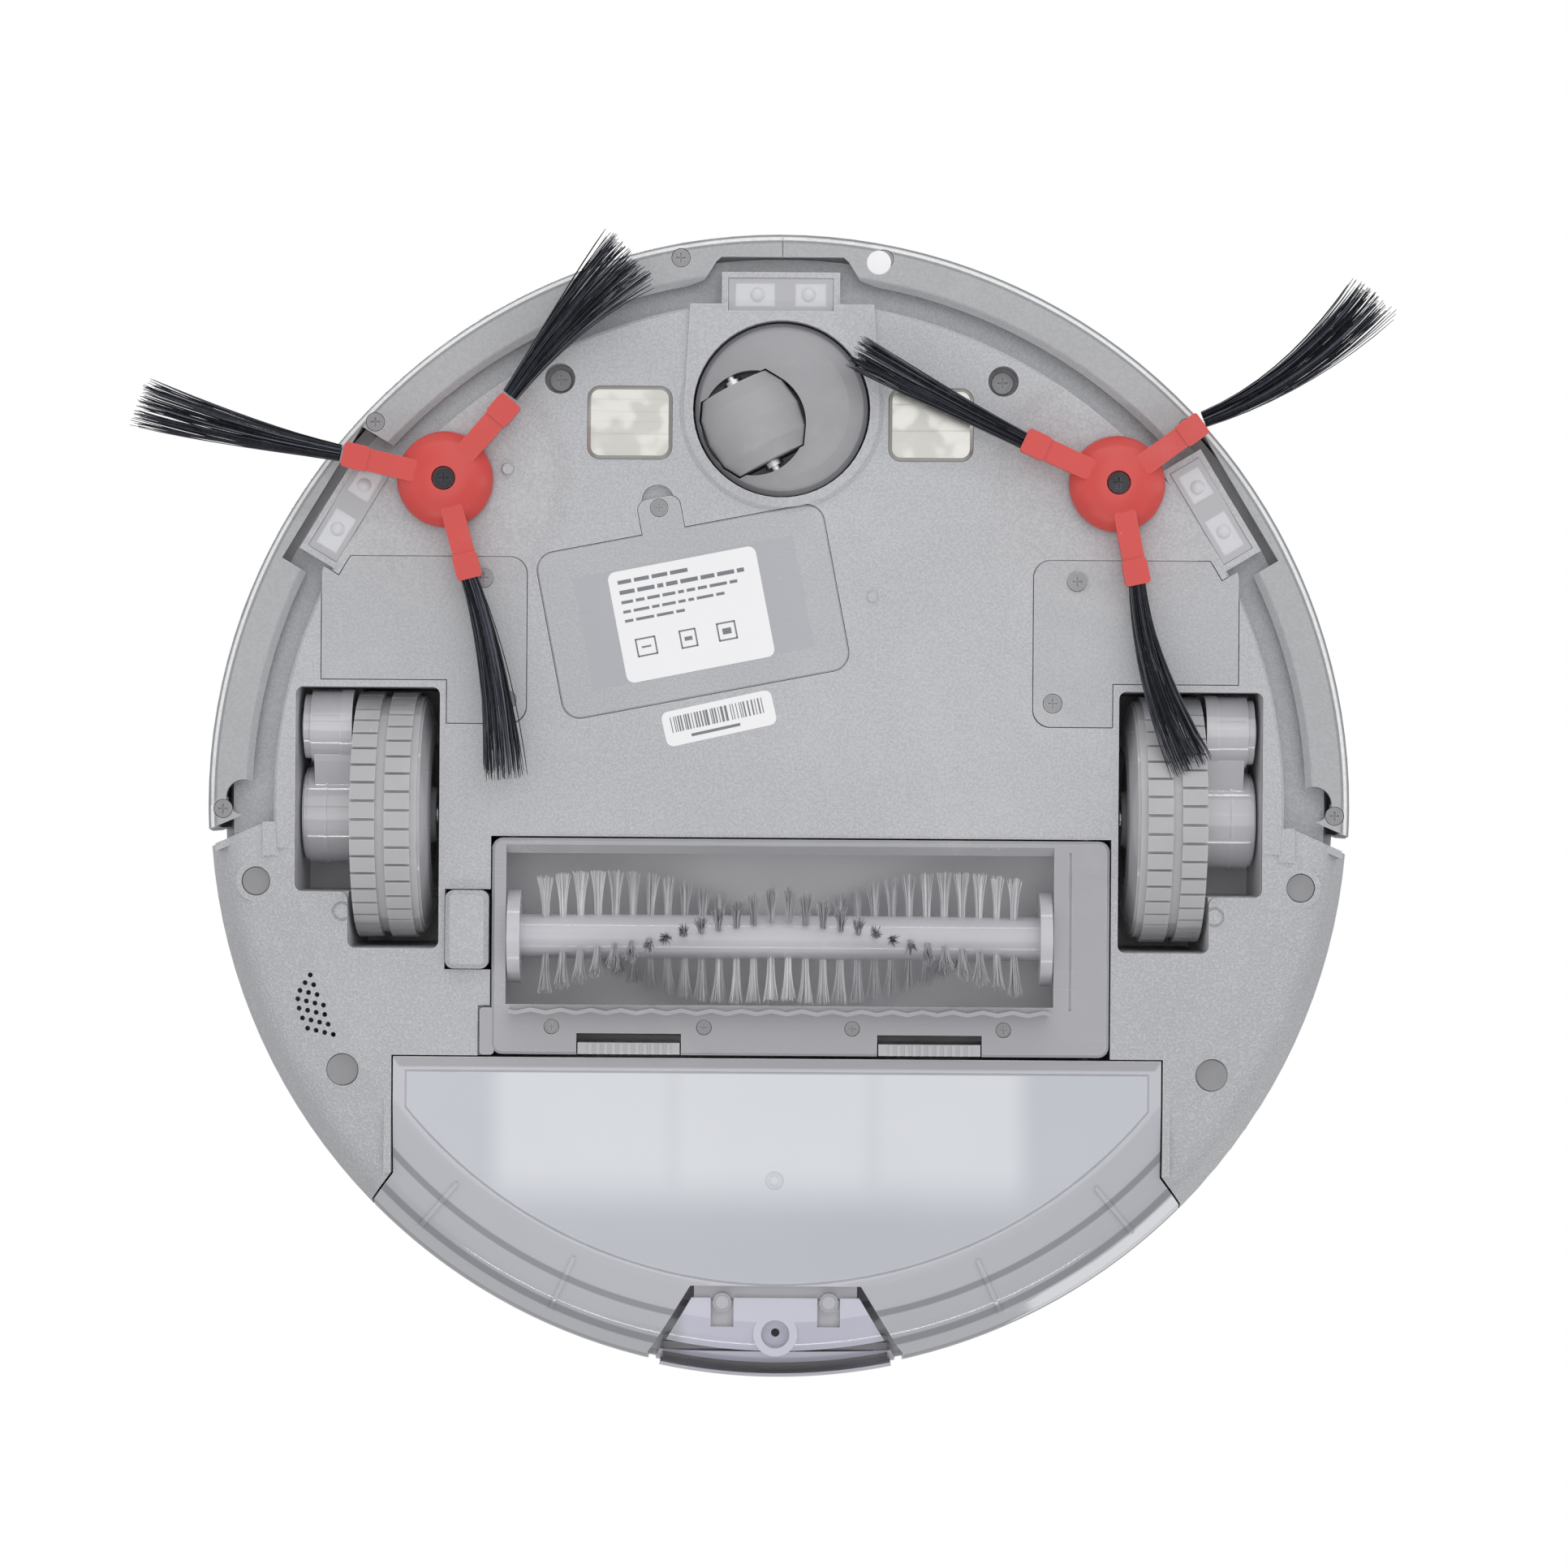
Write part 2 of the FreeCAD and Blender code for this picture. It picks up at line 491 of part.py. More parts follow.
# ---------------------------------------------------------------- side brushes
def side_brush(side):
    x = -BRUSH_X if side == "left" else BRUSH_X
    hub = revolve([(0, 11.4), (0, 4.3), (5.5, 4.3, 12.0), (11.5, 6.6, 8.0), (HUB_R, 9.6, 3.0), (HUB_R, 11.4)])
    hub.translate(V(x, BRUSH_Y, 0))
    arms = []
    for angle in BRUSH_ANGLES[side]:
        arm = pad(x + (ARM_END_R + 8.0) / 2, BRUSH_Y, ARM_END_R - 8.0, ARM_W, 1.2, 5.4, 8.4)
        sleeve = pad(x + ARM_END_R - 3.6, BRUSH_Y, 7.2, 7.0, 1.0, 4.9, 8.9)
        for piece in (arm, sleeve):
            piece.rotate(V(x, BRUSH_Y, 0), V(0, 0, 1), -angle)
            arms.append(piece)
    brush = fuse([hub] + arms)
    brush = cut(brush, [cyl(x, BRUSH_Y, 0, 7.0, 3.4), cyl(x, BRUSH_Y, 6, 20, 2.5)])
    export("side_brush_" + side, brush)
    shaft = fuse([screw(x, BRUSH_Y, 5.2, 2.9, 3.0, 2.5), cyl(x, BRUSH_Y, 7.0, 24.0, 2.5)])
    export("side_brush_shaft_" + side, shaft)
    tufts = []
    for root, mid, tip in TUFT_PATHS[side]:
        tufts.append(tuft(root, mid, tip))
    export("side_brush_bristles_" + side, group(tufts))


def tuft(root, mid, tip):
    """A flat fan of bristles that bends sideways and sags to just above the floor."""
    stations = ((root, 5.0, 5.0, 7.6), (mid, 8.5, 1.9, 4.0), (tip, 12.5, 0.5, 1.6))
    dx, dy = tip[0] - root[0], tip[1] - root[1]
    length = math.hypot(dx, dy)
    ux, uy = dx / length, dy / length
    wires = []
    for (x, y), width, z0, z1 in stations:
        px, py = -uy * width / 2, ux * width / 2
        ring = [V(x - px, y - py, z0), V(x + px, y + py, z0),
                V(x + px, y + py, z1), V(x - px, y - py, z1)]
        wires.append(Part.makePolygon(ring + [ring[0]]))
    return Part.makeLoft(wires, True, True)


# ---------------------------------------------------------------- drive wheels
def drive():
    gearbox = cyl_x(-133.6, -120.6, WHEEL_Y, WHEEL_R, 14.0)
    gearbox = gearbox.fuse([cyl_x(-134.6, -128.4, WHEEL_Y, WHEEL_R, 13.4),
                            cyl_x(-135.2, -133.0, WHEEL_Y, WHEEL_R, 12.2),
                            cyl_x(-128.6, -128.1, WHEEL_Y, WHEEL_R, 14.3),
                            cyl_x(-124.0, -120.6, PIVOT_Y, PIVOT_Z, 10.5)])
    web = [(PIVOT_Y - 3.0, PIVOT_Z - 9.9), (PIVOT_Y + 10.0, PIVOT_Z - 6.0), (WHEEL_Y - 8.0, WHEEL_R - 11.0),
           (WHEEL_Y + 4.0, WHEEL_R - 13.2), (WHEEL_Y - 4.0, WHEEL_R + 13.2), (PIVOT_Y - 2.0, PIVOT_Z + 10.1)]
    web = Part.makePolygon([V(-120.6, y, z) for y, z in web + web[:1]])
    web = Part.Face(web).extrude(V(-11.0, 0, 0))
    gearbox = fuse([gearbox, web])
    gearbox = cut(gearbox, [cyl_x(-130.0, -100.0, WHEEL_Y, WHEEL_R, 3.0),
                            cyl_x(-140.0, -124.0, PIVOT_Y, PIVOT_Z, 10.3)])
    both("drive_gearbox", gearbox)
    motor = fuse([cyl_x(-132.4, -124.0, PIVOT_Y, PIVOT_Z, 10.2), cyl_x(-134.4, -132.0, PIVOT_Y, PIVOT_Z, 9.2),
                  cyl_x(-135.2, -134.0, PIVOT_Y, PIVOT_Z, 4.6)])
    both("drive_motor", motor)
    both("wheel_axle", cyl_x(-130.0, -97.4, WHEEL_Y, WHEEL_R, 3.0))

    rim = cyl_x(-TYRE_OUT + 0.8, -TYRE_IN, WHEEL_Y, WHEEL_R, 30.6)
    hollow = cut(cyl_x(-125, -TYRE_IN - 8.0, WHEEL_Y, WHEEL_R, 28.0),
                 [cyl_x(-125, -90, WHEEL_Y, WHEEL_R, 8.0)])
    rim = cut(rim, [hollow])
    dish = outline([(0, 0), (33.0, 0), (33.0, 0.7), (26.0, 2.6, 8.0), (20.0, 3.0, 2.0),
                    (18.6, 1.4, 1.0), (8.4, 1.4, 1.0), (7.6, 3.4, 0.6), (0, 3.4)])
    face = Part.Face(dish).revolve(V(0, 0, 0), V(0, 0, 1), 360)
    face.rotate(V(0, 0, 0), V(0, 1, 0), 90)
    face.translate(V(-TYRE_IN, WHEEL_Y, WHEEL_R))
    both("wheel_hub", cut(fuse([rim, face]), [cyl_x(-130.0, -90.0, WHEEL_Y, WHEEL_R, 3.06)]))
    both("wheel_tyre", tyre())


def tyre():
    """A ring with two rows of staggered tread blocks and a groove between them."""
    carcass = cut(cyl_x(-TYRE_OUT + 0.5, -TYRE_IN, WHEEL_Y, WHEEL_R, WHEEL_R - TREAD_H),
                  [cyl_x(-130, -90, WHEEL_Y, WHEEL_R, 30.7)])
    pieces = [carcass]
    for row, x0 in enumerate((-TYRE_OUT, -TYRE_OUT + ROW_W + GROOVE_W)):
        ring = cut(cyl_x(x0, x0 + ROW_W, WHEEL_Y, WHEEL_R, WHEEL_R),
                   [cyl_x(-130, -90, WHEEL_Y, WHEEL_R, WHEEL_R - TREAD_H - 0.6)])
        gaps = []
        for i in range(TREAD_COUNT):
            gap = box(x0 - 1, x0 + ROW_W + 1, WHEEL_Y - TREAD_GAP / 2, WHEEL_Y + TREAD_GAP / 2,
                      2 * WHEEL_R - TREAD_H, 2 * WHEEL_R + 2)
            gap.rotate(V(0, WHEEL_Y, WHEEL_R), V(1, 0, 0), (i + 0.5 * row + 0.25) * 360.0 / TREAD_COUNT)
            gaps.append(gap)
        pieces.append(cut(ring, gaps))
    return fuse(pieces)


def wheel_housing():
    """Left wheel's inner housing, standing on the pan round the well."""
    foot = DECK_Z + DECK_T
    slot_out = box(-WELL_MID - 1.8, -WELL_IN + 1.8, WELL_FRONT - 1.8, WELL_REAR + 1.8, foot, WELL_TOP + 1.6)
    drive_out = box(-WELL_OUT - 1.8, -WELL_MID, WELL_FRONT - 1.8, WELL_STEP + 1.8,
                    foot, MOTOR_WELL_TOP + 1.6)
    slot_in = box(-WELL_MID, -WELL_IN, WELL_FRONT, WELL_REAR, 0, WELL_TOP)
    drive_in = box(-WELL_OUT, -WELL_MID + 1, WELL_FRONT, WELL_STEP, 0, MOTOR_WELL_TOP)
    housing = cut(fuse([slot_out, drive_out]), [slot_in, drive_in])
    front = cyl(0, 0, 0, 80, FRONT_R - WALL_T - 0.1).common(box(-170, 0, -170, REAR_FACE_Y, 0, 80))
    rear = rear_form(DECK_T + 0.3, 80).common(box(-170, 0, REAR_FACE_Y, 170, 0, 80))
    return housing.common(fuse([front, rear]))


# ---------------------------------------------------------------- main brush
def roller():
    core = cyl_x(ROLLER_X0 + 3.6, ROLLER_X1 - 3.4, ROLLER_Y, ROLLER_Z, CORE_R)
    pins = [cyl_x(ROLLER_X0 - 3.6, ROLLER_X0 + 4, ROLLER_Y, ROLLER_Z, 3.0),
            cyl_x(ROLLER_X1 - 4, ROLLER_X1 + 4.2, ROLLER_Y, ROLLER_Z, 3.0)]
    export("roller_core", fuse([core] + pins))
    caps = []
    for x0, x1 in ((ROLLER_X0, ROLLER_X0 + 3.6), (ROLLER_X1 - 3.4, ROLLER_X1)):
        cap = cyl_x(x0, x1, ROLLER_Y, ROLLER_Z, 13.3)
        caps.append(cut(cap, [cyl_x(x0 - 1, x1 + 1, ROLLER_Y, ROLLER_Z, 3.0)]))
    export("roller_end_caps", group(caps))
    for tone, starts in ROW_STARTS.items():
        export("roller_bristles_" + tone, group(bristle_rows(starts)))


def bristle_rows(starts):
    """Rows of tufts that wind round the core in a wide V."""
    tufts = []
    span = ROLLER_X1 - ROLLER_X0 - 16.0
    centre = (ROLLER_X0 + ROLLER_X1) / 2
    for start in starts:
        for i in range(TUFTS_PER_ROW):
            u = (i + 0.5) / TUFTS_PER_ROW * 2 - 1
            angle = math.radians(start + ROW_SWEEP * abs(u))
            d = V(0, -math.cos(angle), -math.sin(angle))
            root = V(centre + u * span / 2, ROLLER_Y, ROLLER_Z) + d * CORE_R
            tufts.append(Part.makeCone(TUFT_ROOT_R, TUFT_TIP_R, ROLLER_R - CORE_R, root, d))
    return tufts


def roller_housing():
    """Chamber over the main brush, with a mouth to the bin in its rear wall."""
    x0, x1, y0, y1, top = -78.8, 79.8, MOUTH_Y0, 60.4, 41.0
    outer = box(x0 - 1.8, x1 + 1.8, y0 - 1.8, y1 + 1.8, DECK_Z + DECK_T + 0.2, top + 1.8)
    inner = box(x0, x1, y0, y1, 0, top)
    mouth = box(x0 + 4, 8.0, y1 - 1, y1 + 4, 22.0, 38.0)
    bearings = [cyl_x(x0 - 2, x0 + 0.1, ROLLER_Y, ROLLER_Z, 3.06),
                cyl_x(x1 - 0.1, x1 + 2, ROLLER_Y, ROLLER_Z, 3.06)]
    return cut(outer, [inner, mouth] + bearings)


def brush_cover():
    z0, z1 = DECK_Z - 1.4, DECK_Z + 1.6
    cx, cy = (COVER_X0 + COVER_X1) / 2, (COVER_Y0 + COVER_Y1) / 2
    plate = pad(cx, cy, COVER_X1 - COVER_X0, COVER_Y1 - COVER_Y0, 3.0, z0, z1, 0, 0.8)
    lug = pad(-81.6, 64.0, 4.0, 13.2, 1.0, z0 + 0.6, z1)
    mouth = box(MOUTH_X0, MOUTH_X1, MOUTH_Y0, MOUTH_Y1, 0, 20)
    wedge = [(MOUTH_Y0 - 2.4, z0 - 0.01), (MOUTH_Y0 + 1, z0 - 0.01), (MOUTH_Y0 + 1, z1)]
    wedge = Part.makePolygon([V(MOUTH_X0, y, z) for y, z in wedge + wedge[:1]])
    slope = Part.Face(wedge).extrude(V(MOUTH_X1 - MOUTH_X0, 0, 0))
    latches = [box(x0 - 0.4, x1 + 0.4, 64.4, 72, z0 - 1, z1 + 1) for x0, x1 in LATCHES.values()]
    bar_step = box(MOUTH_X1 + 4.2, MOUTH_X1 + 5.0, MOUTH_Y0 - 1, MOUTH_Y1 + 1, z0 - 1, z0 + 0.6)
    holes = [mouth, slope, bar_step] + latches
    for x, y in GUARD_SCREWS:
        holes += [cyl(x, y, 0, z0 + 1.5, 2.2), cyl(x, y, 0, 20, 1.1)]
    return cut(fuse([plate, lug]), holes)


def latch(x0, x1):
    """Sliding latch: a thumb plate with ribs."""
    z0 = DECK_Z - 1.7
    plate = box(x0, x1, 67.0, 70.2, z0, DECK_Z + 1.5)
    ribs = []
    for i in range(11):
        rib_x = x0 + 3.0 + 2.2 * i
        ribs.append(box(rib_x, rib_x + 1.0, 67.0, 70.2, z0 - 0.5, z0 + 0.2))
    return fuse([plate] + ribs)


def wiper():
    """Wavy rubber wiper along the rear edge of the mouth."""
    steps = 72
    x0, x1 = MOUTH_X0 + 1.2, MOUTH_X1 - 1.2
    near, far = [], []
    for i in range(steps + 1):
        x = x0 + (x1 - x0) * i / steps
        wave = 0.45 * math.sin(i * math.pi / 2)
        near.append((x, 57.4 + wave))
        far.append((x, 58.5 + wave))
    return prism(near + far[::-1], 4.0, DECK_Z - 1.4)


# ---------------------------------------------------------------- dustbin
def bin_plan(inset):
    h, f = BIN_HALF - inset, BIN_FLARE - inset
    return [(-h, BIN_FRONT + inset), (h, BIN_FRONT + inset), (h, 104.3), (f, 112.9), (f, 170.0), (-f, 170.0),
            (-f, 112.9), (-h, 104.3)]


def rear_form(inset, top):
    """The rear body's outer form, set in by a wall's thickness."""
    edge = [(r - inset, z + inset, round_r - 0.8 * inset) for r, z, round_r in REAR_EDGE]
    return revolve([(0, DECK_Z + inset)] + edge + [(SHELL_R - inset, top), (0, top)], 0, 180)


def dustbin():
    outer = prism(bin_plan(0), 0, SEAM_Z - 0.4).common(rear_form(0, SEAM_Z - 0.4))
    inner = prism(bin_plan(2.2), 0, 80).common(rear_form(2.2, 80))
    pocket_out = prism([(x * 1.07, y - 2.0) for x, y in BUTTON_PLAN], 0, 42.0)
    pocket_in = prism(BUTTON_PLAN, 0, 40.0)
    tub = cut(outer, [inner])
    tub = fuse([tub, pocket_out.common(outer)])
    # stiffening ribs under the sloping rear edge
    ribs = []
    for angle in (24.0, 40.0, -24.0, -40.0):
        rib = box(139.5, 157.0, -0.5, 0.5, DECK_Z - 0.2, 22.0)
        rib.rotate(V(0, 0, 0), V(0, 0, 1), 90 + angle)
        ribs.append(rib.common(rear_form(-0.5, 60)))
    tub = fuse([tub] + ribs)
    gate = cut(cyl(-0.5, 105.6, 0, DECK_Z + 0.5, 2.6), [cyl(-0.5, 105.6, 0, 20, 1.2)])
    groove = cut(cyl(0, 0, 0, DECK_Z + 0.5, 135.2), [cyl(0, 0, 0, 20, 134.6)])
    groove = fuse([groove.common(box(-104.6, 104.6, 75.4, 140, 0, 20)),
                   box(-104.6, 104.6, 75.0, 75.6, 0, DECK_Z + 0.5),
                   box(-104.6, -104.0, 75.0, 85.6, 0, DECK_Z + 0.5),
                   box(104.0, 104.6, 75.0, 85.6, 0, DECK_Z + 0.5)])
    inlet = box(-72.0, 8.0, 70, 76, 22.0, 38.0)
    filter_window = box(22.0, 94.0, 70, 76, 24.0, 48.0)
    lid_opening = box(-106.0, 106.0, 73.0, 106.0, 57.0, 80)
    tub = cut(tub, [pocket_in, inlet, filter_window, gate, groove, lid_opening])
    posts = [cyl(x, 140.0, 13.2, 40.6, 2.6) for x in (-15.0, 15.0)]
    tub = fuse([tub] + posts)
    export("dustbin_body", tub)
    lid = prism(bin_plan(2.4), 57.2, 59.0).common(rear_form(2.4, 80))
    lid = cut(lid, [box(-40, 40, 76, 82, 50, 58.0)])
    export("dustbin_lid", lid)
    filter_frame = cut(box(20.0, 96.0, 73.7, 77.2, 22.0, 50.0), [box(23.0, 93.0, 70, 75.0, 25.0, 47.0)])
    export("dustbin_filter", filter_frame)


def release_button():
    """Thumb plate in the bin's rear pocket, with a boss for its screw."""
    front = BUTTON_PLAN[0][1] + BUTTON_TRAVEL + 0.6
    z0 = DECK_Z + 2.0
    plate = prism([(-23.6, front), (23.6, front), (33.2, 155.0), (34.0, 157.0), (34.0, 162.0),
                   (-34.0, 162.0), (-34.0, 157.0), (-33.2, 155.0)], z0, z0 + 2.4)
    face = prism([(-32.6, 154.2), (32.6, 154.2), (34.0, 157.0), (34.0, 170), (-34.0, 170), (-34.0, 157.0)],
                 z0, 39.0)
    hollow = box(-31.8, 31.8, 150.0, 161.4, 22.0, 37.0)
    solid = cut(fuse([plate, face]), [hollow]).common(rear_form(0.3, 80))
    boss = cyl(0, BUTTON_SCREW_Y, z0, 24.0, 6.2)
    slots = [box(x - 3.2, x + 3.2, 138.0, 147.0, 0, 30.0) for x in (-15.0, 15.0)]
    screw_hole = [cyl(0, BUTTON_SCREW_Y, 0, 18.0, 4.0), cyl(0, BUTTON_SCREW_Y, 0, 30.0, 1.2)]
    return cut(fuse([solid, boss]), screw_hole + slots)


# ---------------------------------------------------------------- deck fittings
def battery():
    x, y = BATTERY_C
    z0, z1 = DECK_Z - 0.1, DECK_Z + 1.5
    plate = pad(x, y, BATTERY_L, BATTERY_W, 5.2, z0, z1, BATTERY_TURN, 0.5)
    tab = pad(x + TAB_X, y + TAB_Y, 12.0, 12.0, 2.8, z0, z1)
    tab.rotate(V(x, y, 0), V(0, 0, 1), BATTERY_TURN)
    sx, sy = battery_screw()
    screw_hole = [cyl(sx, sy, 0, z0 + 0.7, 2.6), cyl(sx, sy, 0, 20, 1.3)]
    export("battery_cover", cut(fuse([plate, tab]), screw_hole))
    export("battery_pack", pad(x, y, 75.0, 41.0, 4.0, 14.6, 37.6, BATTERY_TURN))


def deck_fittings():
    sx, sy = battery_screw()
    screws = [screw(x, y, 18.6, 2.9, 6.0) for x, y in DECK_SCREWS]
    screws += [screw(x, y, DECK_Z + 0.1, 2.6, 2.2, 1.1, 1.0) for x, y in COVER_SCREWS]
    screws.append(screw(sx, sy, DECK_Z, 2.4, 2.2, 1.1, 0.6))
    export("deck_screws", group(screws))
    for name, (x, y) in CONTACTS.items():
        plate = pad(x, y, CONTACT_W, CONTACT_D, 3.6, DECK_Z - 0.9, DECK_Z + 3.0, 0, 1.1)
        export("charging_contact_" + name, plate)
    holes = [brush_dish(-1)]
    for x, y in COVER_SCREWS:
        if x < 0:
            holes += [cyl(x, y, 0, DECK_Z + 1.1, 2.8), cyl(x, y, 0, 20, 1.2)]
    both("access_cover", cut(access_plan(-0.15, DECK_Z, DECK_Z + 1.3), holes))


def sensors():
    """Sensor holders in the pan's three pockets, and their clear windows."""
    holders, windows = [], []
    z0 = DECK_Z + 0.5
    for x, y, turn in SENSORS.values():
        holder = block_round(x, y, turn, -0.1, -0.1, z0, 20.2)
        for centre, length in ((-8.4, 8.6), (7.2, 11.0)):
            w0, w1 = y + centre - length / 2, y + centre + length / 2
            seat = box(x - 3.2, x + 3.2, w0, w1, z0 - 1, z0 + 1.0)
            holder = cut(holder, [turned(seat, x, y, turn)])
            pane = box(x - 3.2, x + 3.2, w0, w1, z0 + 0.1, z0 + 0.9)
            lens = Part.makeSphere(2.6, V(x, y + centre * 0.92, z0 + 1.7))
            lens = lens.common(box(x - 4, x + 4, w0, w1, 0, z0 + 0.5))
            windows.append(turned(fuse([pane, lens]), x, y, turn))
        holders.append(holder)
    export("cliff_sensors", group(holders))
    export("cliff_windows", group(windows))


def fan():
    """The suction fan's scroll housing, and its wheel with nine blades."""
    x, y = FAN_X, FAN_Y
    scroll = fuse([cyl(x, y, 16.0, 40.0, 30.0), box(x, x + 29.0, y, 8.0, 18.0, 38.0)])
    inner = fuse([cyl(x, y, 18.0, 38.0, 28.0), box(x + 2.0, x + 27.0, y, 12.0, 20.0, 36.0)])
    export("fan_housing", cut(scroll, [inner, cyl(x, y, 30, 50, 12.0), cyl(x, y, 10, 20, 2.06)]))
    wheel = [cyl(x, y, 20.0, 21.4, 25.0), cyl(x, y, 21.0, 34.0, 6.0), cyl(x, y, 16.4, 21.0, 2.0)]
    for i in range(9):
        blade = box(x + 5.0, x + 25.0, y - 0.7, y + 0.7, 21.0, 33.0)
        wheel.append(turned(blade, x, y, 40.0 * i))
    export("fan_impeller", fuse(wheel))


def roller_drive():
    """Gear case at the roller's driven end, with its motor lying above the chamber."""
    case = pad(-87.3, 35.5, 12.2, 22.0, 2.4, DECK_Z - 3.2, 34.0, 0, 1.4)
    case = cut(case, [cyl_x(-81.0, -70.0, ROLLER_Y, ROLLER_Z, 3.3), box(-81.4, -70, 20, 60, 13.0, 50)])
    motor = cyl_x(-92.0, -42.0, 30.0, 56.0, 12.0)
    neck = box(-93.0, -84.0, 25.0, 46.0, 33.0, 56.0)
    export("roller_gearbox", fuse([case, neck, motor]))


def side_brush_motors():
    motors = []
    for side in (-1, 1):
        x = side * BRUSH_X
        cx, cy = side * 84.0, -81.0
        case = pad(cx, cy, 24.0, 30.0, 4.0, DECK_Z + DECK_T, 25.0, -side * 43.9)
        motor = fuse([case, cyl(x, BRUSH_Y, DECK_Z + DECK_T, 25.0, 8.4), cyl(cx, cy, 24.0, 42.0, 10.0)])
        motors.append(cut(motor, [cyl(x, BRUSH_Y, 0, 24.4, 2.56)]))
    export("side_brush_motors", group(motors))


def bumper_works():
    """Two switches behind the bumper, and the springs that push it forward."""
    switches, springs = [], []
    for side in (-1, 1):
        x = side * 104.0
        switches.append(turned(box(x - 6, x + 6, -109.0, -103.0, 21.6, 31.0), x, -106, side * 45.0))
        for k in range(5):
            y = -FRONT_R * 0.94 - 4.6 - 2.9 * k
            springs.append(Part.makeTorus(3.4, 0.5, V(side * 48.0, y, 42.0), V(0, 1, 0)))
    export("bumper_switches", group(switches))
    export("bumper_springs", group(springs))


def board_and_speaker():
    board = box(-86.0, 28.0, -84.0, 4.0, 47.0, 48.6)
    export("main_board", cut(board, [cyl(-60, -70, 40, 50, 1.6)]))
    x, y = SPEAKER_X, SPEAKER_Y
    speaker = [cone(x, y, 23.0, 27.0, 10.4, 7.0), cyl(x, y, 27.0, 33.0, 6.0), cyl(x, y, 22.0, 23.0, 11.0)]
    export("speaker", fuse(speaker))


def buttons():
    ring = cut(cyl(0, POWER_Y, 76.4, 78.3, 13.9), [cyl(0, POWER_Y, 70, 90, 11.6)])
    export("light_ring", ring)
    cap = fuse([cyl(0, POWER_Y, 74.0, 78.2, 11.2), cone(0, POWER_Y, 78.2, 78.8, 11.2, 10.4)])
    export("power_button", cap)


# ---------------------------------------------------------------- write every piece
export("base_shell", base_shell())
export("top_cover", top_cover())
export("bumper_shell", bumper_shell())
export("ir_window", ir_window())
export("bumper_screws", group([screw(x, y, LIP_Z + 0.2, 2.5, 4.8, 1.1, 1.2) for x, y in BUMPER_SCREWS]))
caster()
for name in ("left", "right"):
    side_brush(name)
drive()
both("wheel_housing", wheel_housing())
roller()
export("roller_housing", roller_housing())
export("brush_cover", brush_cover())
export("wiper_strip", wiper())
export("guard_screws", group([screw(x, y, DECK_Z - 0.9, 2.0, 2.4, 1.0, 0.9) for x, y in GUARD_SCREWS]))
for name, (start, end) in LATCHES.items():
    export("latch_" + name, latch(start, end))
dustbin()
export("release_button", release_button())
battery()
deck_fittings()
sensors()
board_and_speaker()
fan()
roller_drive()
side_brush_motors()
bumper_works()
buttons()
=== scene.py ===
"""Finishes, bristles, labels and small trim of a robot vacuum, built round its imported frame."""
import math
import random

import bmesh
import bpy
from mathutils import Matrix, Vector


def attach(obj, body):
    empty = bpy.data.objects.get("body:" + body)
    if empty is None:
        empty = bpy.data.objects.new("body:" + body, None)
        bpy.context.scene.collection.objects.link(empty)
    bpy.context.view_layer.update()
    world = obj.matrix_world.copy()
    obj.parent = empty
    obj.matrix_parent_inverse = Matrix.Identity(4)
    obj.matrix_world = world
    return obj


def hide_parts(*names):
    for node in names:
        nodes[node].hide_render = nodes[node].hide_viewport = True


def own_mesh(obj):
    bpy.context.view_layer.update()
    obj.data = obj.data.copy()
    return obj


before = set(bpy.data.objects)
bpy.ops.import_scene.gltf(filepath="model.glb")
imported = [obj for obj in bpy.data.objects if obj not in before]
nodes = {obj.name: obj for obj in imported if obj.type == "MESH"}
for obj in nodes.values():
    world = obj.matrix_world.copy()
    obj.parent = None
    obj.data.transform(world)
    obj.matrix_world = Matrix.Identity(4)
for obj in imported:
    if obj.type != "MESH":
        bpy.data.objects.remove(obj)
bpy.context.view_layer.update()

MM = 0.001
scene = bpy.context.scene

# ------------------------------------------------------------------ places on the machine, in millimetres
DECK_Z = 12.0
ROLLER_Y, ROLLER_Z, ROLLER_R, CORE_R = 37.5, 20.0, 19.2, 6.2
ROLLER_MIDDLE, ROLLER_HALF = 0.5, 68.5
ROW_STARTS = {"dark": (38.0,), "pale": (158.0, 278.0)}      # degrees round the core
ROW_SWEEP = 112.0
TUFTS_PER_ROW = 28
ROLLER_STRANDS, ROLLER_STRAND_WIDTH = 44, 0.26
BRUSH_STRANDS, BRUSH_STRAND_WIDTH = 120, 0.27
SLEEVE_HALF = 2.2          # half the width of a tuft where it leaves its sleeve
FOIL_AT, FOIL_TURN = (-24.3, -53.9), -11.5
LABEL_AT, LABEL_TURN = (-25.0, -53.3), -11.3
SERIAL_AT, SERIAL_TURN = (-17.0, -24.2), -12.8
STICKER_AT = (27.1, -152.8)
BUTTON_Y = -96.0           # the power button's middle
COIL_X, COIL_Z, COIL_BACK, COIL_FRONT, COIL_R = 48.0, 42.0, -135.5, -150.0, 3.4
THUMB_HALF_ANGLE = 11.7
REAR_HOLES = [(-147.0, 22.4, 4.1, 14.6), (147.0, 22.4, 4.1, 14.6),
              (-122.2, 75.2, 4.6, 13.6), (122.2, 75.2, 4.6, 13.6)]
SPEAKER = (-131.6, 55.7)
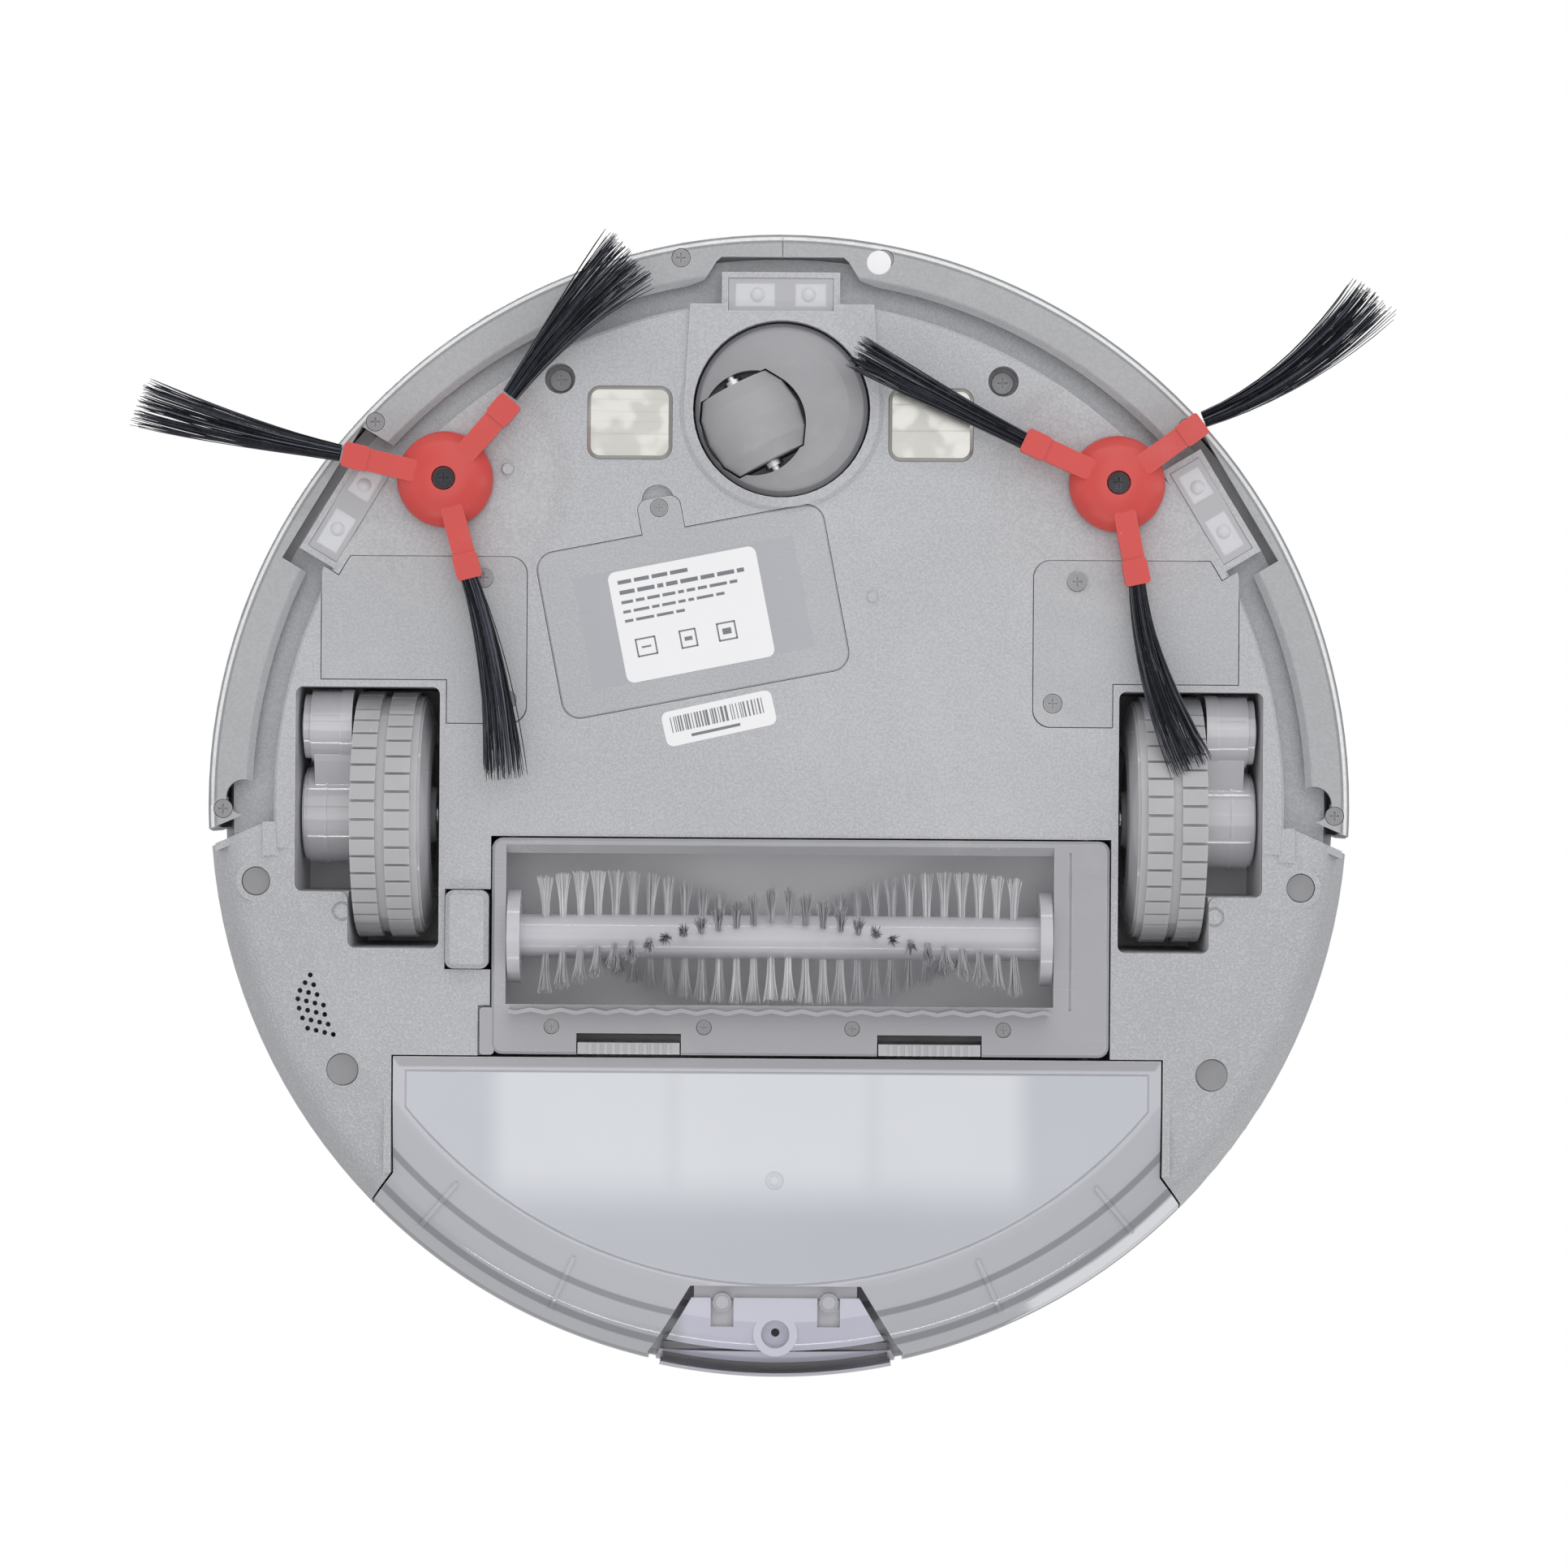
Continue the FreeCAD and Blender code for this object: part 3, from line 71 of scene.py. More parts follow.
TUFT_PATHS = {           # root, middle, tip and the width at the tip
    "left": (((-76.0, -114.0), (-58.6, -136.2), (-41.6, -153.6), 18.5),
             ((-123.2, -97.6), (-152.0, -103.6), (-179.4, -111.4), 13.5),
             ((-87.6, -64.4), (-80.5, -38.0), (-76.8, -6.4), 11.4)),
    "right": (((118.0, -108.6), (143.4, -122.6), (165.2, -144.0), 13.0),
              ((67.8, -102.4), (43.5, -114.5), (19.8, -127.2), 9.0),
              ((99.6, -63.6), (104.4, -38.0), (115.4, -10.4), 12.6)),
}


def srgb(*values):
    """A colour given as 0 to 255 display values, as the shader's linear numbers."""
    linear = []
    for value in values:
        v = value / 255.0
        linear.append(v / 12.92 if v <= 0.04045 else ((v + 0.055) / 1.055) ** 2.4)
    return (*linear, 1.0)


# ------------------------------------------------------------------ node wiring
def add(tree, kind, inputs=None, **settings):
    """A node with its settings and inputs; an input is a value or another node's output."""
    node = tree.nodes.new("ShaderNode" + kind)
    for key, value in settings.items():
        setattr(node, key, value)
    for key, value in (inputs or {}).items():
        if isinstance(value, bpy.types.NodeSocket):
            tree.links.new(value, node.inputs[key])
        else:
            node.inputs[key].default_value = value
    return node


def maths(tree, operation, *values):
    node = add(tree, "Math", dict(enumerate(values)), operation=operation)
    return node.outputs[0]


def mix(tree, factor, low, high):
    """Blend two colours."""
    node = add(tree, "Mix", {0: factor, 6: low, 7: high}, data_type="RGBA")
    return node.outputs[2]


def ramp(tree, value, start, end, low=0.0, high=1.0):
    """Smooth change from low to high while value goes from start to end."""
    ends = {0: value, 1: start, 2: end, 3: low, 4: high}
    return add(tree, "MapRange", ends, interpolation_type="SMOOTHSTEP").outputs[0]


def new_group(name, inputs, outputs):
    tree = bpy.data.node_groups.new(name, "ShaderNodeTree")
    for label, kind, value in inputs:
        socket = tree.interface.new_socket(label, in_out="INPUT", socket_type="NodeSocket" + kind)
        socket.default_value = value
    for label, kind in outputs:
        tree.interface.new_socket(label, in_out="OUTPUT", socket_type="NodeSocket" + kind)
    return tree, tree.nodes.new("NodeGroupInput").outputs, tree.nodes.new("NodeGroupOutput").inputs


def use(tree, group, inputs):
    node = tree.nodes.new("ShaderNodeGroup")
    node.node_tree = group
    for key, value in inputs.items():
        if isinstance(value, bpy.types.NodeSocket):
            tree.links.new(value, node.inputs[key])
        else:
            node.inputs[key].default_value = value
    return node.outputs


def plan_place(tree):
    """The plan's x and y."""
    parts = add(tree, "SeparateXYZ", {0: add(tree, "TexCoord").outputs["Object"]}).outputs
    return parts["X"], parts["Y"]


def plan_radius(tree):
    """Distance from the body's upright axis."""
    place = add(tree, "TexCoord").outputs["Object"]
    flat = add(tree, "VectorMath", {0: place, 1: (1.0, 1.0, 0.0)}, operation="MULTIPLY").outputs[0]
    return add(tree, "VectorMath", {0: flat}, operation="LENGTH").outputs["Value"]


# ------------------------------------------------------------------ effects shared by the finishes
def moulded_grain():
    """Spark-eroded mould texture: fine pebbles with an uneven tone over the part, and a further output of
    painted highlights and painted shade on the pebbles.
    """
    tree, given, result = new_group(
        "Moulded grain", [("Pebbles per metre", "Float", 1500.0), ("Coarse", "Float", 0.0)],
        [("Height", "Float"), ("Tone", "Float"), ("Painted glint", "Float")])
    place = add(tree, "TexCoord").outputs["Object"]
    fine_scale = given["Pebbles per metre"]
    fine = add(tree, "TexNoise", {"Vector": place, "Scale": fine_scale, "Detail": 2.0}).outputs[0]
    coarse_scale = maths(tree, "MULTIPLY", fine_scale, 0.55)
    coarse = add(tree, "TexNoise", {"Vector": place, "Scale": coarse_scale, "Detail": 1.0}).outputs[0]
    pebble = ramp(tree, coarse, 0.36, 0.64)
    height = maths(tree, "ADD", maths(tree, "MULTIPLY", fine, 0.5),
                   maths(tree, "MULTIPLY", pebble, given["Coarse"]))
    broad = add(tree, "TexNoise", {"Vector": place, "Scale": 26.0, "Detail": 3.0}).outputs[0]
    # painted glint: lighter on the pebble tops and darker between them, standing for light catching the
    # grain
    painted_glint = maths(tree, "ADD", maths(tree, "MULTIPLY_ADD", fine, 2.0, -1.0),
                    maths(tree, "MULTIPLY_ADD", pebble, 0.6, -0.3))
    tree.links.new(painted_glint, result["Painted glint"])
    tree.links.new(height, result["Height"])
    tree.links.new(ramp(tree, broad, 0.25, 0.75, -1.0, 1.0), result["Tone"])
    return tree


def handling_wear():
    """Rubbed edges: where the surface turns sharply it goes paler, in broken patches."""
    tree, given, result = new_group(
        "Handling wear",
        [("Colour", "Color", (0.5, 0.5, 0.5, 1.0)), ("Rubbed", "Color", (0.7, 0.7, 0.7, 1.0)),
         ("Reach", "Float", 0.0006), ("Amount", "Float", 0.5)],
        [("Colour", "Color"), ("Mask", "Float")])
    place = add(tree, "TexCoord").outputs["Object"]
    rounded = add(tree, "Bevel", {"Radius": given["Reach"]}, samples=4).outputs[0]
    facing = add(tree, "NewGeometry").outputs["Normal"]
    agree = add(tree, "VectorMath", {0: rounded, 1: facing}, operation="DOT_PRODUCT").outputs["Value"]
    edge = ramp(tree, agree, 0.995, 0.86)
    patches = add(tree, "TexNoise", {"Vector": place, "Scale": 140.0, "Detail": 4.0}).outputs[0]
    broken = maths(tree, "MULTIPLY", edge, ramp(tree, patches, 0.3, 0.62))
    mask = maths(tree, "MULTIPLY", broken, given["Amount"])
    tree.links.new(mix(tree, mask, given["Colour"], given["Rubbed"]), result["Colour"])
    tree.links.new(mask, result["Mask"])
    return tree


def floor_dust():
    """Fine dust and a few pale specks picked up from the floor."""
    tree, given, result = new_group(
        "Floor dust",
        [("Colour", "Color", (0.5, 0.5, 0.5, 1.0)), ("Dust", "Color", (0.75, 0.74, 0.72, 1.0)),
         ("Amount", "Float", 0.3)],
        [("Colour", "Color"), ("Mask", "Float")])
    place = add(tree, "TexCoord").outputs["Object"]
    cloudy = {"Vector": place, "Scale": 34.0, "Detail": 6.0, "Roughness": 0.7}
    cloud = add(tree, "TexNoise", cloudy).outputs[0]
    film = maths(tree, "MULTIPLY", ramp(tree, cloud, 0.5, 0.8), 0.5)
    cells = add(tree, "TexVoronoi", {"Vector": place, "Scale": 210.0}).outputs
    rare = ramp(tree, add(tree, "SeparateColor", {0: cells["Color"]}).outputs[0], 0.93, 0.96)
    speck = maths(tree, "MULTIPLY", ramp(tree, cells["Distance"], 0.09, 0.05), rare)
    mask = maths(tree, "MULTIPLY", maths(tree, "MAXIMUM", film, speck), given["Amount"])
    tree.links.new(mix(tree, mask, given["Colour"], given["Dust"]), result["Colour"])
    tree.links.new(mask, result["Mask"])
    return tree


def fine_scratches():
    """Hair-fine scuffs in three directions, as a mask."""
    tree, given, result = new_group("Fine scratches", [("Amount", "Float", 0.5)], [("Mask", "Float")])
    place = add(tree, "TexCoord").outputs["Object"]
    total = 0.0
    for turn in (0.3, 1.4, 2.5):
        along = add(tree, "Mapping",
                    {"Vector": place, "Rotation": (0.0, 0.0, turn), "Scale": (9.0, 900.0, 9.0)})
        lines = add(tree, "TexNoise", {"Vector": along.outputs[0], "Scale": 1.0, "Detail": 1.0}).outputs[0]
        total = maths(tree, "ADD", total, ramp(tree, lines, 0.66, 0.74))
    tree.links.new(maths(tree, "MULTIPLY", total, given["Amount"]), result["Mask"])
    return tree


def turned_lines():
    """Fine lathe lines round the body's upright axis."""
    tree, given, result = new_group(
        "Turned lines", [("Lines per metre", "Float", 2500.0)], [("Height", "Float")])
    around = {"W": plan_radius(tree), "Scale": given["Lines per metre"], "Detail": 1.0}
    rings = add(tree, "TexNoise", around, noise_dimensions="1D").outputs[0]
    tree.links.new(rings, result["Height"])
    return tree


GRAIN, WEAR, DUST = moulded_grain(), handling_wear(), floor_dust()
SCRATCHES, LATHE = fine_scratches(), turned_lines()


# ------------------------------------------------------------------ finishes
def plastic(name, colour, rubbed=None, roughness=0.45, pebbles=1500.0, coarse=0.0, depth=0.00006,
            tone=0.05, painted_glint=0.0, dust=0.3, wear=0.5, reach=0.0006, coat=0.0, pattern=None,
            metallic=0.0, scuffs=0.4):
    """Moulded plastic or rubber: grained, slightly uneven, rubbed at the edges and dusty, with painted
    glints on the grain where asked.
    """
    material = bpy.data.materials.new(name)
    material.use_nodes = True
    tree = material.node_tree
    shader = tree.nodes["Principled BSDF"]
    base = srgb(*colour)
    worn = srgb(*(rubbed or [min(255, c + 26) for c in colour]))
    coarse_value = coarse(tree) if callable(coarse) else coarse
    grain = use(tree, GRAIN, {"Pebbles per metre": pebbles, "Coarse": coarse_value})
    hue = pattern(tree, base) if pattern else base
    brightness = maths(tree, "MULTIPLY_ADD", grain["Tone"], tone, 1.0)
    # painted highlights and painted shade of the grain, put into the colour
    if painted_glint > 0:
        brightness = maths(tree, "MULTIPLY_ADD", grain["Painted glint"], painted_glint, brightness)
    toned = add(tree, "HueSaturation", {"Value": brightness, "Color": hue}).outputs[0]
    rubbed_edge = use(tree, WEAR, {"Colour": toned, "Rubbed": worn, "Reach": reach, "Amount": wear})
    dusty = use(tree, DUST, {"Colour": rubbed_edge["Colour"], "Amount": dust})
    scuffed = use(tree, SCRATCHES, {"Amount": scuffs})["Mask"]
    matt = maths(tree, "MULTIPLY_ADD", dusty["Mask"], 0.35, roughness)
    matt = maths(tree, "MULTIPLY_ADD", scuffed, 0.12, matt)
    matt = maths(tree, "MULTIPLY_ADD", grain["Tone"], 0.04, matt)
    bump = add(tree, "Bump", {"Height": grain["Height"], "Strength": 0.8, "Distance": depth}).outputs[0]
    for key, value in (("Base Color", dusty["Colour"]), ("Roughness", matt), ("Normal", bump)):
        tree.links.new(value, shader.inputs[key])
    shader.inputs["Metallic"].default_value = metallic
    shader.inputs["Coat Weight"].default_value = coat
    shader.inputs["Coat Roughness"].default_value = 0.08
    return material


def metal(name, colour, roughness=0.25, lines=2500.0, depth=0.000004, tarnish=0.1):
    """Bright metal with lathe lines, scuffs and a faint tarnish."""
    material = bpy.data.materials.new(name)
    material.use_nodes = True
    tree = material.node_tree
    shader = tree.nodes["Principled BSDF"]
    base = srgb(*colour)
    dull = tuple(c * 0.72 for c in base[:3]) + (1.0,)
    grain = use(tree, GRAIN, {"Pebbles per metre": 220.0, "Coarse": 0.4})
    mask = maths(tree, "MULTIPLY", ramp(tree, grain["Height"], 0.3, 0.62), tarnish)
    rings = use(tree, LATHE, {"Lines per metre": lines})["Height"]
    scuffed = use(tree, SCRATCHES, {"Amount": 0.6})["Mask"]
    tree.links.new(mix(tree, mask, base, dull), shader.inputs["Base Color"])
    rough = maths(tree, "MULTIPLY_ADD", mask, 0.5, roughness)
    tree.links.new(maths(tree, "MULTIPLY_ADD", scuffed, 0.15, rough), shader.inputs["Roughness"])
    bump = add(tree, "Bump", {"Height": rings, "Strength": 0.6, "Distance": depth}).outputs[0]
    tree.links.new(bump, shader.inputs["Normal"])
    shader.inputs["Metallic"].default_value = 1.0
    return material


def clear_plastic(name, colour, roughness=0.08):
    """Clear moulded window: glassy, with a few scuffs."""
    material = bpy.data.materials.new(name)
    material.use_nodes = True
    tree = material.node_tree
    shader = tree.nodes["Principled BSDF"]
    scuffed = use(tree, SCRATCHES, {"Amount": 0.5})["Mask"]
    grain = use(tree, GRAIN, {"Pebbles per metre": 300.0, "Coarse": 0.3})
    tinted = mix(tree, scuffed, srgb(*colour), srgb(250, 250, 252))
    tree.links.new(tinted, shader.inputs["Base Color"])
    tree.links.new(maths(tree, "MULTIPLY_ADD", scuffed, 0.3, roughness), shader.inputs["Roughness"])
    ripple = {"Height": grain["Height"], "Strength": 0.2, "Distance": 0.00005}
    bump = add(tree, "Bump", ripple).outputs[0]
    tree.links.new(bump, shader.inputs["Normal"])
    shader.inputs["Transmission Weight"].default_value = 0.3
    shader.inputs["Metallic"].default_value = 0.0
    return material


def bristle_nylon(name, dark, pale, roughness=0.32):
    """Nylon filaments, each with its own tone; the pale share partly stands for painted glints, where light
    catches single strands.
    """
    material = bpy.data.materials.new(name)
    material.use_nodes = True
    tree = material.node_tree
    shader = tree.nodes["Principled BSDF"]
    tone = add(tree, "Attribute", attribute_name="filament_tone_and_glint").outputs["Fac"]
    place = add(tree, "TexCoord").outputs["Object"]
    kink = add(tree, "TexNoise", {"Vector": place, "Scale": 700.0}).outputs[0]
    # per-strand pale share: random tone, and painted glints on the few strands that get much of it
    shade = maths(tree, "MULTIPLY_ADD", kink, 0.3, maths(tree, "ADD", tone, -0.15))
    tree.links.new(mix(tree, shade, srgb(*dark), srgb(*pale)), shader.inputs["Base Color"])
    tree.links.new(maths(tree, "MULTIPLY_ADD", tone, 0.2, roughness), shader.inputs["Roughness"])
    shader.inputs["Coat Weight"].default_value = 0.3
    return material


# ------------------------------------------------------------------ patterns of single finishes
def rear_coarseness(tree):
    """The pan's grain is coarser towards its rear sides."""
    x, y = plan_place(tree)
    sideways = ramp(tree, maths(tree, "ABSOLUTE", x), 0.060, 0.115)
    backwards = ramp(tree, y, -0.01, 0.03)
    return maths(tree, "MULTIPLY_ADD", maths(tree, "MULTIPLY", sideways, backwards), 1.0, 0.12)


def band(tree, value, middle, half, soft):
    """One inside middle plus or minus half, falling to nought over soft."""
    away = maths(tree, "ABSOLUTE", maths(tree, "SUBTRACT", value, middle))
    return ramp(tree, away, half + soft, half)


def smoky_bin(tree, base):
    """Smoked tub: a frosted window, darker towards the rear, with three bright patches of painted light
    that stand for light showing through it, and darker ribs in its curved rim.
    """
    radius = plan_radius(tree)
    x, y = plan_place(tree)
    across = maths(tree, "ABSOLUTE", x)
    window = maths(tree, "MULTIPLY", ramp(tree, radius, 0.1352, 0.1340), ramp(tree, y, 0.0752, 0.0760))
    window = maths(tree, "MULTIPLY", window, ramp(tree, across, 0.1046, 0.1036))
    frosted = mix(tree, ramp(tree, y, 0.126, 0.100), srgb(182, 184, 194), srgb(192, 195, 204))
    # three soft bright patches of painted light across the window, fading towards the rear
    for middle, half, strength in ((-0.054, 0.020, 0.9), (-0.001, 0.023, 1.0), (0.048, 0.016, 0.95)):
        painted_light_patch = maths(tree, "MULTIPLY", band(tree, x, middle, half, 0.010), ramp(tree, y, 0.118, 0.100))
        painted_light_patch = maths(tree, "MULTIPLY", painted_light_patch, strength)
        frosted = mix(tree, painted_light_patch, frosted, srgb(218, 221, 227))
    rim = mix(tree, ramp(tree, radius, 0.142, 0.150), srgb(190, 190, 198), srgb(184, 185, 191))
    rim = mix(tree, ramp(tree, radius, 0.1550, 0.1562), rim, srgb(190, 193, 200))
    for middle, half in ((0.1459, 0.0007), (0.1549, 0.0009), (0.1612, 0.0006)):
        rim = mix(tree, band(tree, radius, middle, half, 0.0005), rim, srgb(146, 147, 154))
    from_post = add(tree, "CombineXYZ", {"X": maths(tree, "SUBTRACT", across, 0.015),
                                         "Y": maths(tree, "SUBTRACT", y, 0.140)}).outputs[0]
    to_post = add(tree, "VectorMath", {0: from_post}, operation="LENGTH").outputs["Value"]
    rim = mix(tree, ramp(tree, to_post, 0.0034, 0.0030), rim, srgb(150, 150, 156))
    rim = mix(tree, ramp(tree, to_post, 0.0019, 0.0016), rim, srgb(176, 176, 183))
    edge = maths(tree, "MULTIPLY", ramp(tree, y, 0.0745, 0.0738), ramp(tree, radius, 0.13, 0.129))
    rim = mix(tree, edge, rim, srgb(158, 158, 164))
    return mix(tree, window, rim, frosted)


def painted_rim_light_and_shade(tree, base):
    """Painted highlight round the bumper's lower edge: a pale band between two dark lines of painted shade,
    standing for the light and shade on its rounded step.
    """
    radius = plan_radius(tree)
    # pale band: painted highlight; the two dark lines below: painted shade
    hue = mix(tree, band(tree, radius, 0.1594, 0.0003, 0.0003), base, srgb(240, 241, 242))
    for middle in (0.1585, 0.1604):
        hue = mix(tree, band(tree, radius, middle, 0.0002, 0.0003), hue, srgb(150, 151, 154))
    return hue


def button_blush(tree, base):
    """Smoked thumb plate: paler where the plate is backed, darker in its wings."""
    x, y = plan_place(tree)
    backed = maths(tree, "MULTIPLY", ramp(tree, x, -0.029, -0.024), ramp(tree, x, 0.034, 0.026))
    backed = maths(tree, "MULTIPLY", backed, ramp(tree, y, 0.160, 0.157))
    return mix(tree, backed, base, srgb(196, 195, 211))


def tyre_scuff(tree, base):
    """Tread tops rubbed paler by the floor."""
    place = add(tree, "TexCoord").outputs["Object"]
    patches = add(tree, "TexNoise", {"Vector": place, "Scale": 90.0, "Detail": 5.0}).outputs[0]
    return mix(tree, ramp(tree, patches, 0.45, 0.7), base, srgb(186, 186, 188))


FINISHES = {
    "deck": plastic("deck_plastic", (190, 191, 195), roughness=0.40, coarse=rear_coarseness, pebbles=2600.0,
                    depth=0.00018, tone=0.03, painted_glint=0.22, dust=0.35, wear=0.6),
    "panel": plastic("panel_plastic", (186, 187, 191), roughness=0.40, coarse=0.15, pebbles=2600.0,
                     depth=0.00018, tone=0.03, painted_glint=0.18, dust=0.35),
    "bumper": plastic("bumper_plastic", (178, 179, 182), roughness=0.36, coarse=0.1, pebbles=2000.0,
                      depth=0.00016, tone=0.03, painted_glint=0.12, reach=0.0008, pattern=painted_rim_light_and_shade),
    "lid": plastic("lid_gloss_plastic", (150, 151, 156), roughness=0.12, depth=0.000004, tone=0.02,
                   dust=0.25, coat=0.8, scuffs=0.8),
    "guard": plastic("guard_plastic", (168, 168, 173), roughness=0.24, depth=0.00001, tone=0.03,
                     wear=0.8, coat=0.25),
    "latch": plastic("latch_plastic", (190, 190, 194), roughness=0.3, depth=0.00001, dust=0.25),
    "caster_dome": plastic("caster_plastic", (162, 162, 166), roughness=0.38, coarse=0.1, depth=0.0001),
    "caster_roll": plastic("caster_rubber", (170, 170, 173), roughness=0.55, pebbles=1800.0,
                           depth=0.00012, coarse=0.2, dust=0.6),
    "wheel_hub": plastic("wheel_hub_plastic", (180, 180, 184), roughness=0.2, depth=0.000006, coat=0.4),
    "gearbox": plastic("gearbox_plastic", (204, 204, 209), roughness=0.1, depth=0.000004, dust=0.15,
                       coat=1.0),
    "tyre": plastic("tyre_rubber", (186, 186, 189), roughness=0.6, pebbles=2000.0, depth=0.00008, dust=0.6,
                    pattern=tyre_scuff, wear=0.8),
    "well": plastic("well_plastic", (228, 228, 231), roughness=0.4, depth=0.00004, dust=0.4, wear=0.2),
    "smoky": plastic("smoky_plastic", (180, 180, 188), rubbed=(214, 216, 222), roughness=0.1,
                     depth=0.000006, tone=0.015, dust=0.12, coat=0.6, pattern=smoky_bin),
    "button": plastic("button_plastic", (172, 172, 179), rubbed=(206, 208, 214), roughness=0.14,
                      depth=0.000006, dust=0.1, coat=0.6, pattern=button_blush),
    "red": plastic("red_plastic", (214, 76, 71), rubbed=(228, 112, 104), roughness=0.34, pebbles=1800.0,
                   depth=0.00006, tone=0.04, dust=0.12, wear=0.5),
    "core": plastic("roller_core_plastic", (198, 198, 204), roughness=0.2, depth=0.000006, dust=0.5,
                    coat=0.4),
    "sensor": plastic("sensor_plastic", (184, 184, 188), roughness=0.3, depth=0.00001, dust=0.2),
    "ir": plastic("ir_window_plastic", (96, 96, 104), roughness=0.06, depth=0.000002, dust=0.1, coat=1.0),
    "wiper": plastic("wiper_rubber", (170, 170, 174), roughness=0.5, depth=0.00003, dust=0.5),
    "plug": plastic("plug_rubber", (150, 150, 153), roughness=0.5, depth=0.00004),
    "cloth": plastic("speaker_cloth", (138, 138, 142), roughness=0.8, pebbles=2600.0, coarse=1.0,
                     depth=0.0002),
    "board": plastic("board_lacquer", (44, 92, 66), roughness=0.3, depth=0.00001, dust=0.4),
    "motor": metal("motor_steel", (170, 171, 174), roughness=0.35),
    "steel": metal("bright_steel", (206, 206, 208), roughness=0.22),
    "screw": plastic("screw_steel", (146, 146, 149), rubbed=(206, 206, 208), roughness=0.34,
                     depth=0.000004, wear=1.0, reach=0.0003, metallic=0.35),
    "nickel": metal("contact_nickel", (203, 202, 197), roughness=0.28, lines=900.0, depth=0.000002,
                    tarnish=0.25),
    "black_steel": plastic("black_screw", (48, 49, 55), rubbed=(104, 105, 110), roughness=0.3,
                           depth=0.00001, metallic=0.6),
    "wrap": plastic("battery_wrap", (70, 92, 132), roughness=0.3, depth=0.00002),
    "paper": plastic("filter_paper", (226, 225, 218), roughness=0.8, pebbles=2400.0, coarse=0.8,
                     depth=0.0001),
    "window": clear_plastic("clear_window", (243, 244, 249)),
    "diffuser": plastic("light_diffuser", (232, 236, 240), roughness=0.3, depth=0.00001, dust=0.1),
    "foil": plastic("foil_film", (178, 179, 185), roughness=0.22, depth=0.000004, tone=0.02, dust=0.15,
                    scuffs=0.9),
    "label": plastic("label_paper", (250, 250, 252), roughness=0.5, pebbles=3000.0, depth=0.00001,
                     tone=0.01, dust=0.1, wear=0.1),
    "ink": plastic("label_ink", (128, 130, 136), roughness=0.5, depth=0.000004, dust=0.0, wear=0.0),
    "chrome": metal("trim_chrome", (224, 225, 228), roughness=0.12, tarnish=0.05),
    "dark_nylon": bristle_nylon("dark_bristles", (20, 21, 28), (112, 115, 128)),
    "grey_nylon": bristle_nylon("grey_bristles", (166, 166, 169), (214, 214, 217), 0.4),
    "pale_nylon": bristle_nylon("pale_bristles", (205, 205, 209), (245, 245, 247), 0.4),
}

CAD_FINISHES = {
    "deck": ("base_shell", "roller_gearbox"),
    "panel": ("access_cover_left", "access_cover_right", "battery_cover"),
    "bumper": ("bumper_shell",), "lid": ("top_cover", "power_button"), "ir": ("ir_window",),
    "guard": ("brush_cover",), "latch": ("latch_left", "latch_right"),
    "caster_dome": ("caster_swivel",), "caster_roll": ("caster_wheel",),
    "steel": ("caster_axle", "wheel_axle_left", "wheel_axle_right", "bumper_springs"),
    "screw": ("bumper_screws", "deck_screws", "guard_screws"),
    "black_steel": ("side_brush_shaft_left", "side_brush_shaft_right"),
    "wheel_hub": ("wheel_hub_left", "wheel_hub_right"), "tyre": ("wheel_tyre_left", "wheel_tyre_right"),
    "gearbox": ("drive_gearbox_left", "drive_gearbox_right", "drive_motor_left", "drive_motor_right"),
    "motor": ("speaker",),
    "well": ("wheel_housing_left", "wheel_housing_right", "roller_housing", "caster_socket", "fan_housing",
             "side_brush_motors"),
    "smoky": ("dustbin_body", "dustbin_lid"), "button": ("release_button",), "paper": ("dustbin_filter",),
    "red": ("side_brush_left", "side_brush_right"), "core": ("roller_core", "roller_end_caps"),
    "sensor": ("cliff_sensors", "bumper_switches", "fan_impeller"), "window": ("cliff_windows",),
    "wiper": ("wiper_strip",), "board": ("main_board",), "wrap": ("battery_pack",),
    "nickel": ("charging_contact_left", "charging_contact_right"), "diffuser": ("light_ring",),
}
for finish, names in CAD_FINISHES.items():
    for name in names:
        nodes[name].data.materials.clear()
        nodes[name].data.materials.append(FINISHES[finish])


# ------------------------------------------------------------------ making pieces
def finished(name, shape, body, finish):
    """Turn a shape into a piece that rides on a body."""
    bmesh.ops.remove_doubles(shape, verts=shape.verts, dist=1e-7)
    bmesh.ops.recalc_face_normals(shape, faces=shape.faces)
    mesh = bpy.data.meshes.new(name)
    shape.to_mesh(mesh)
    shape.free()
    return placed(name, mesh, body, finish)


def placed(name, mesh, body, finish, sharp=35.0):
    """Give a mesh its finish and smooth shading, and let it ride on a body."""
    mesh.shade_smooth()
    mesh.set_sharp_from_angle(angle=math.radians(sharp))
    mesh.materials.clear()
    mesh.materials.append(FINISHES[finish])
    piece = bpy.data.objects.new(name, mesh)
    scene.collection.objects.link(piece)
    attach(piece, body)
    return piece


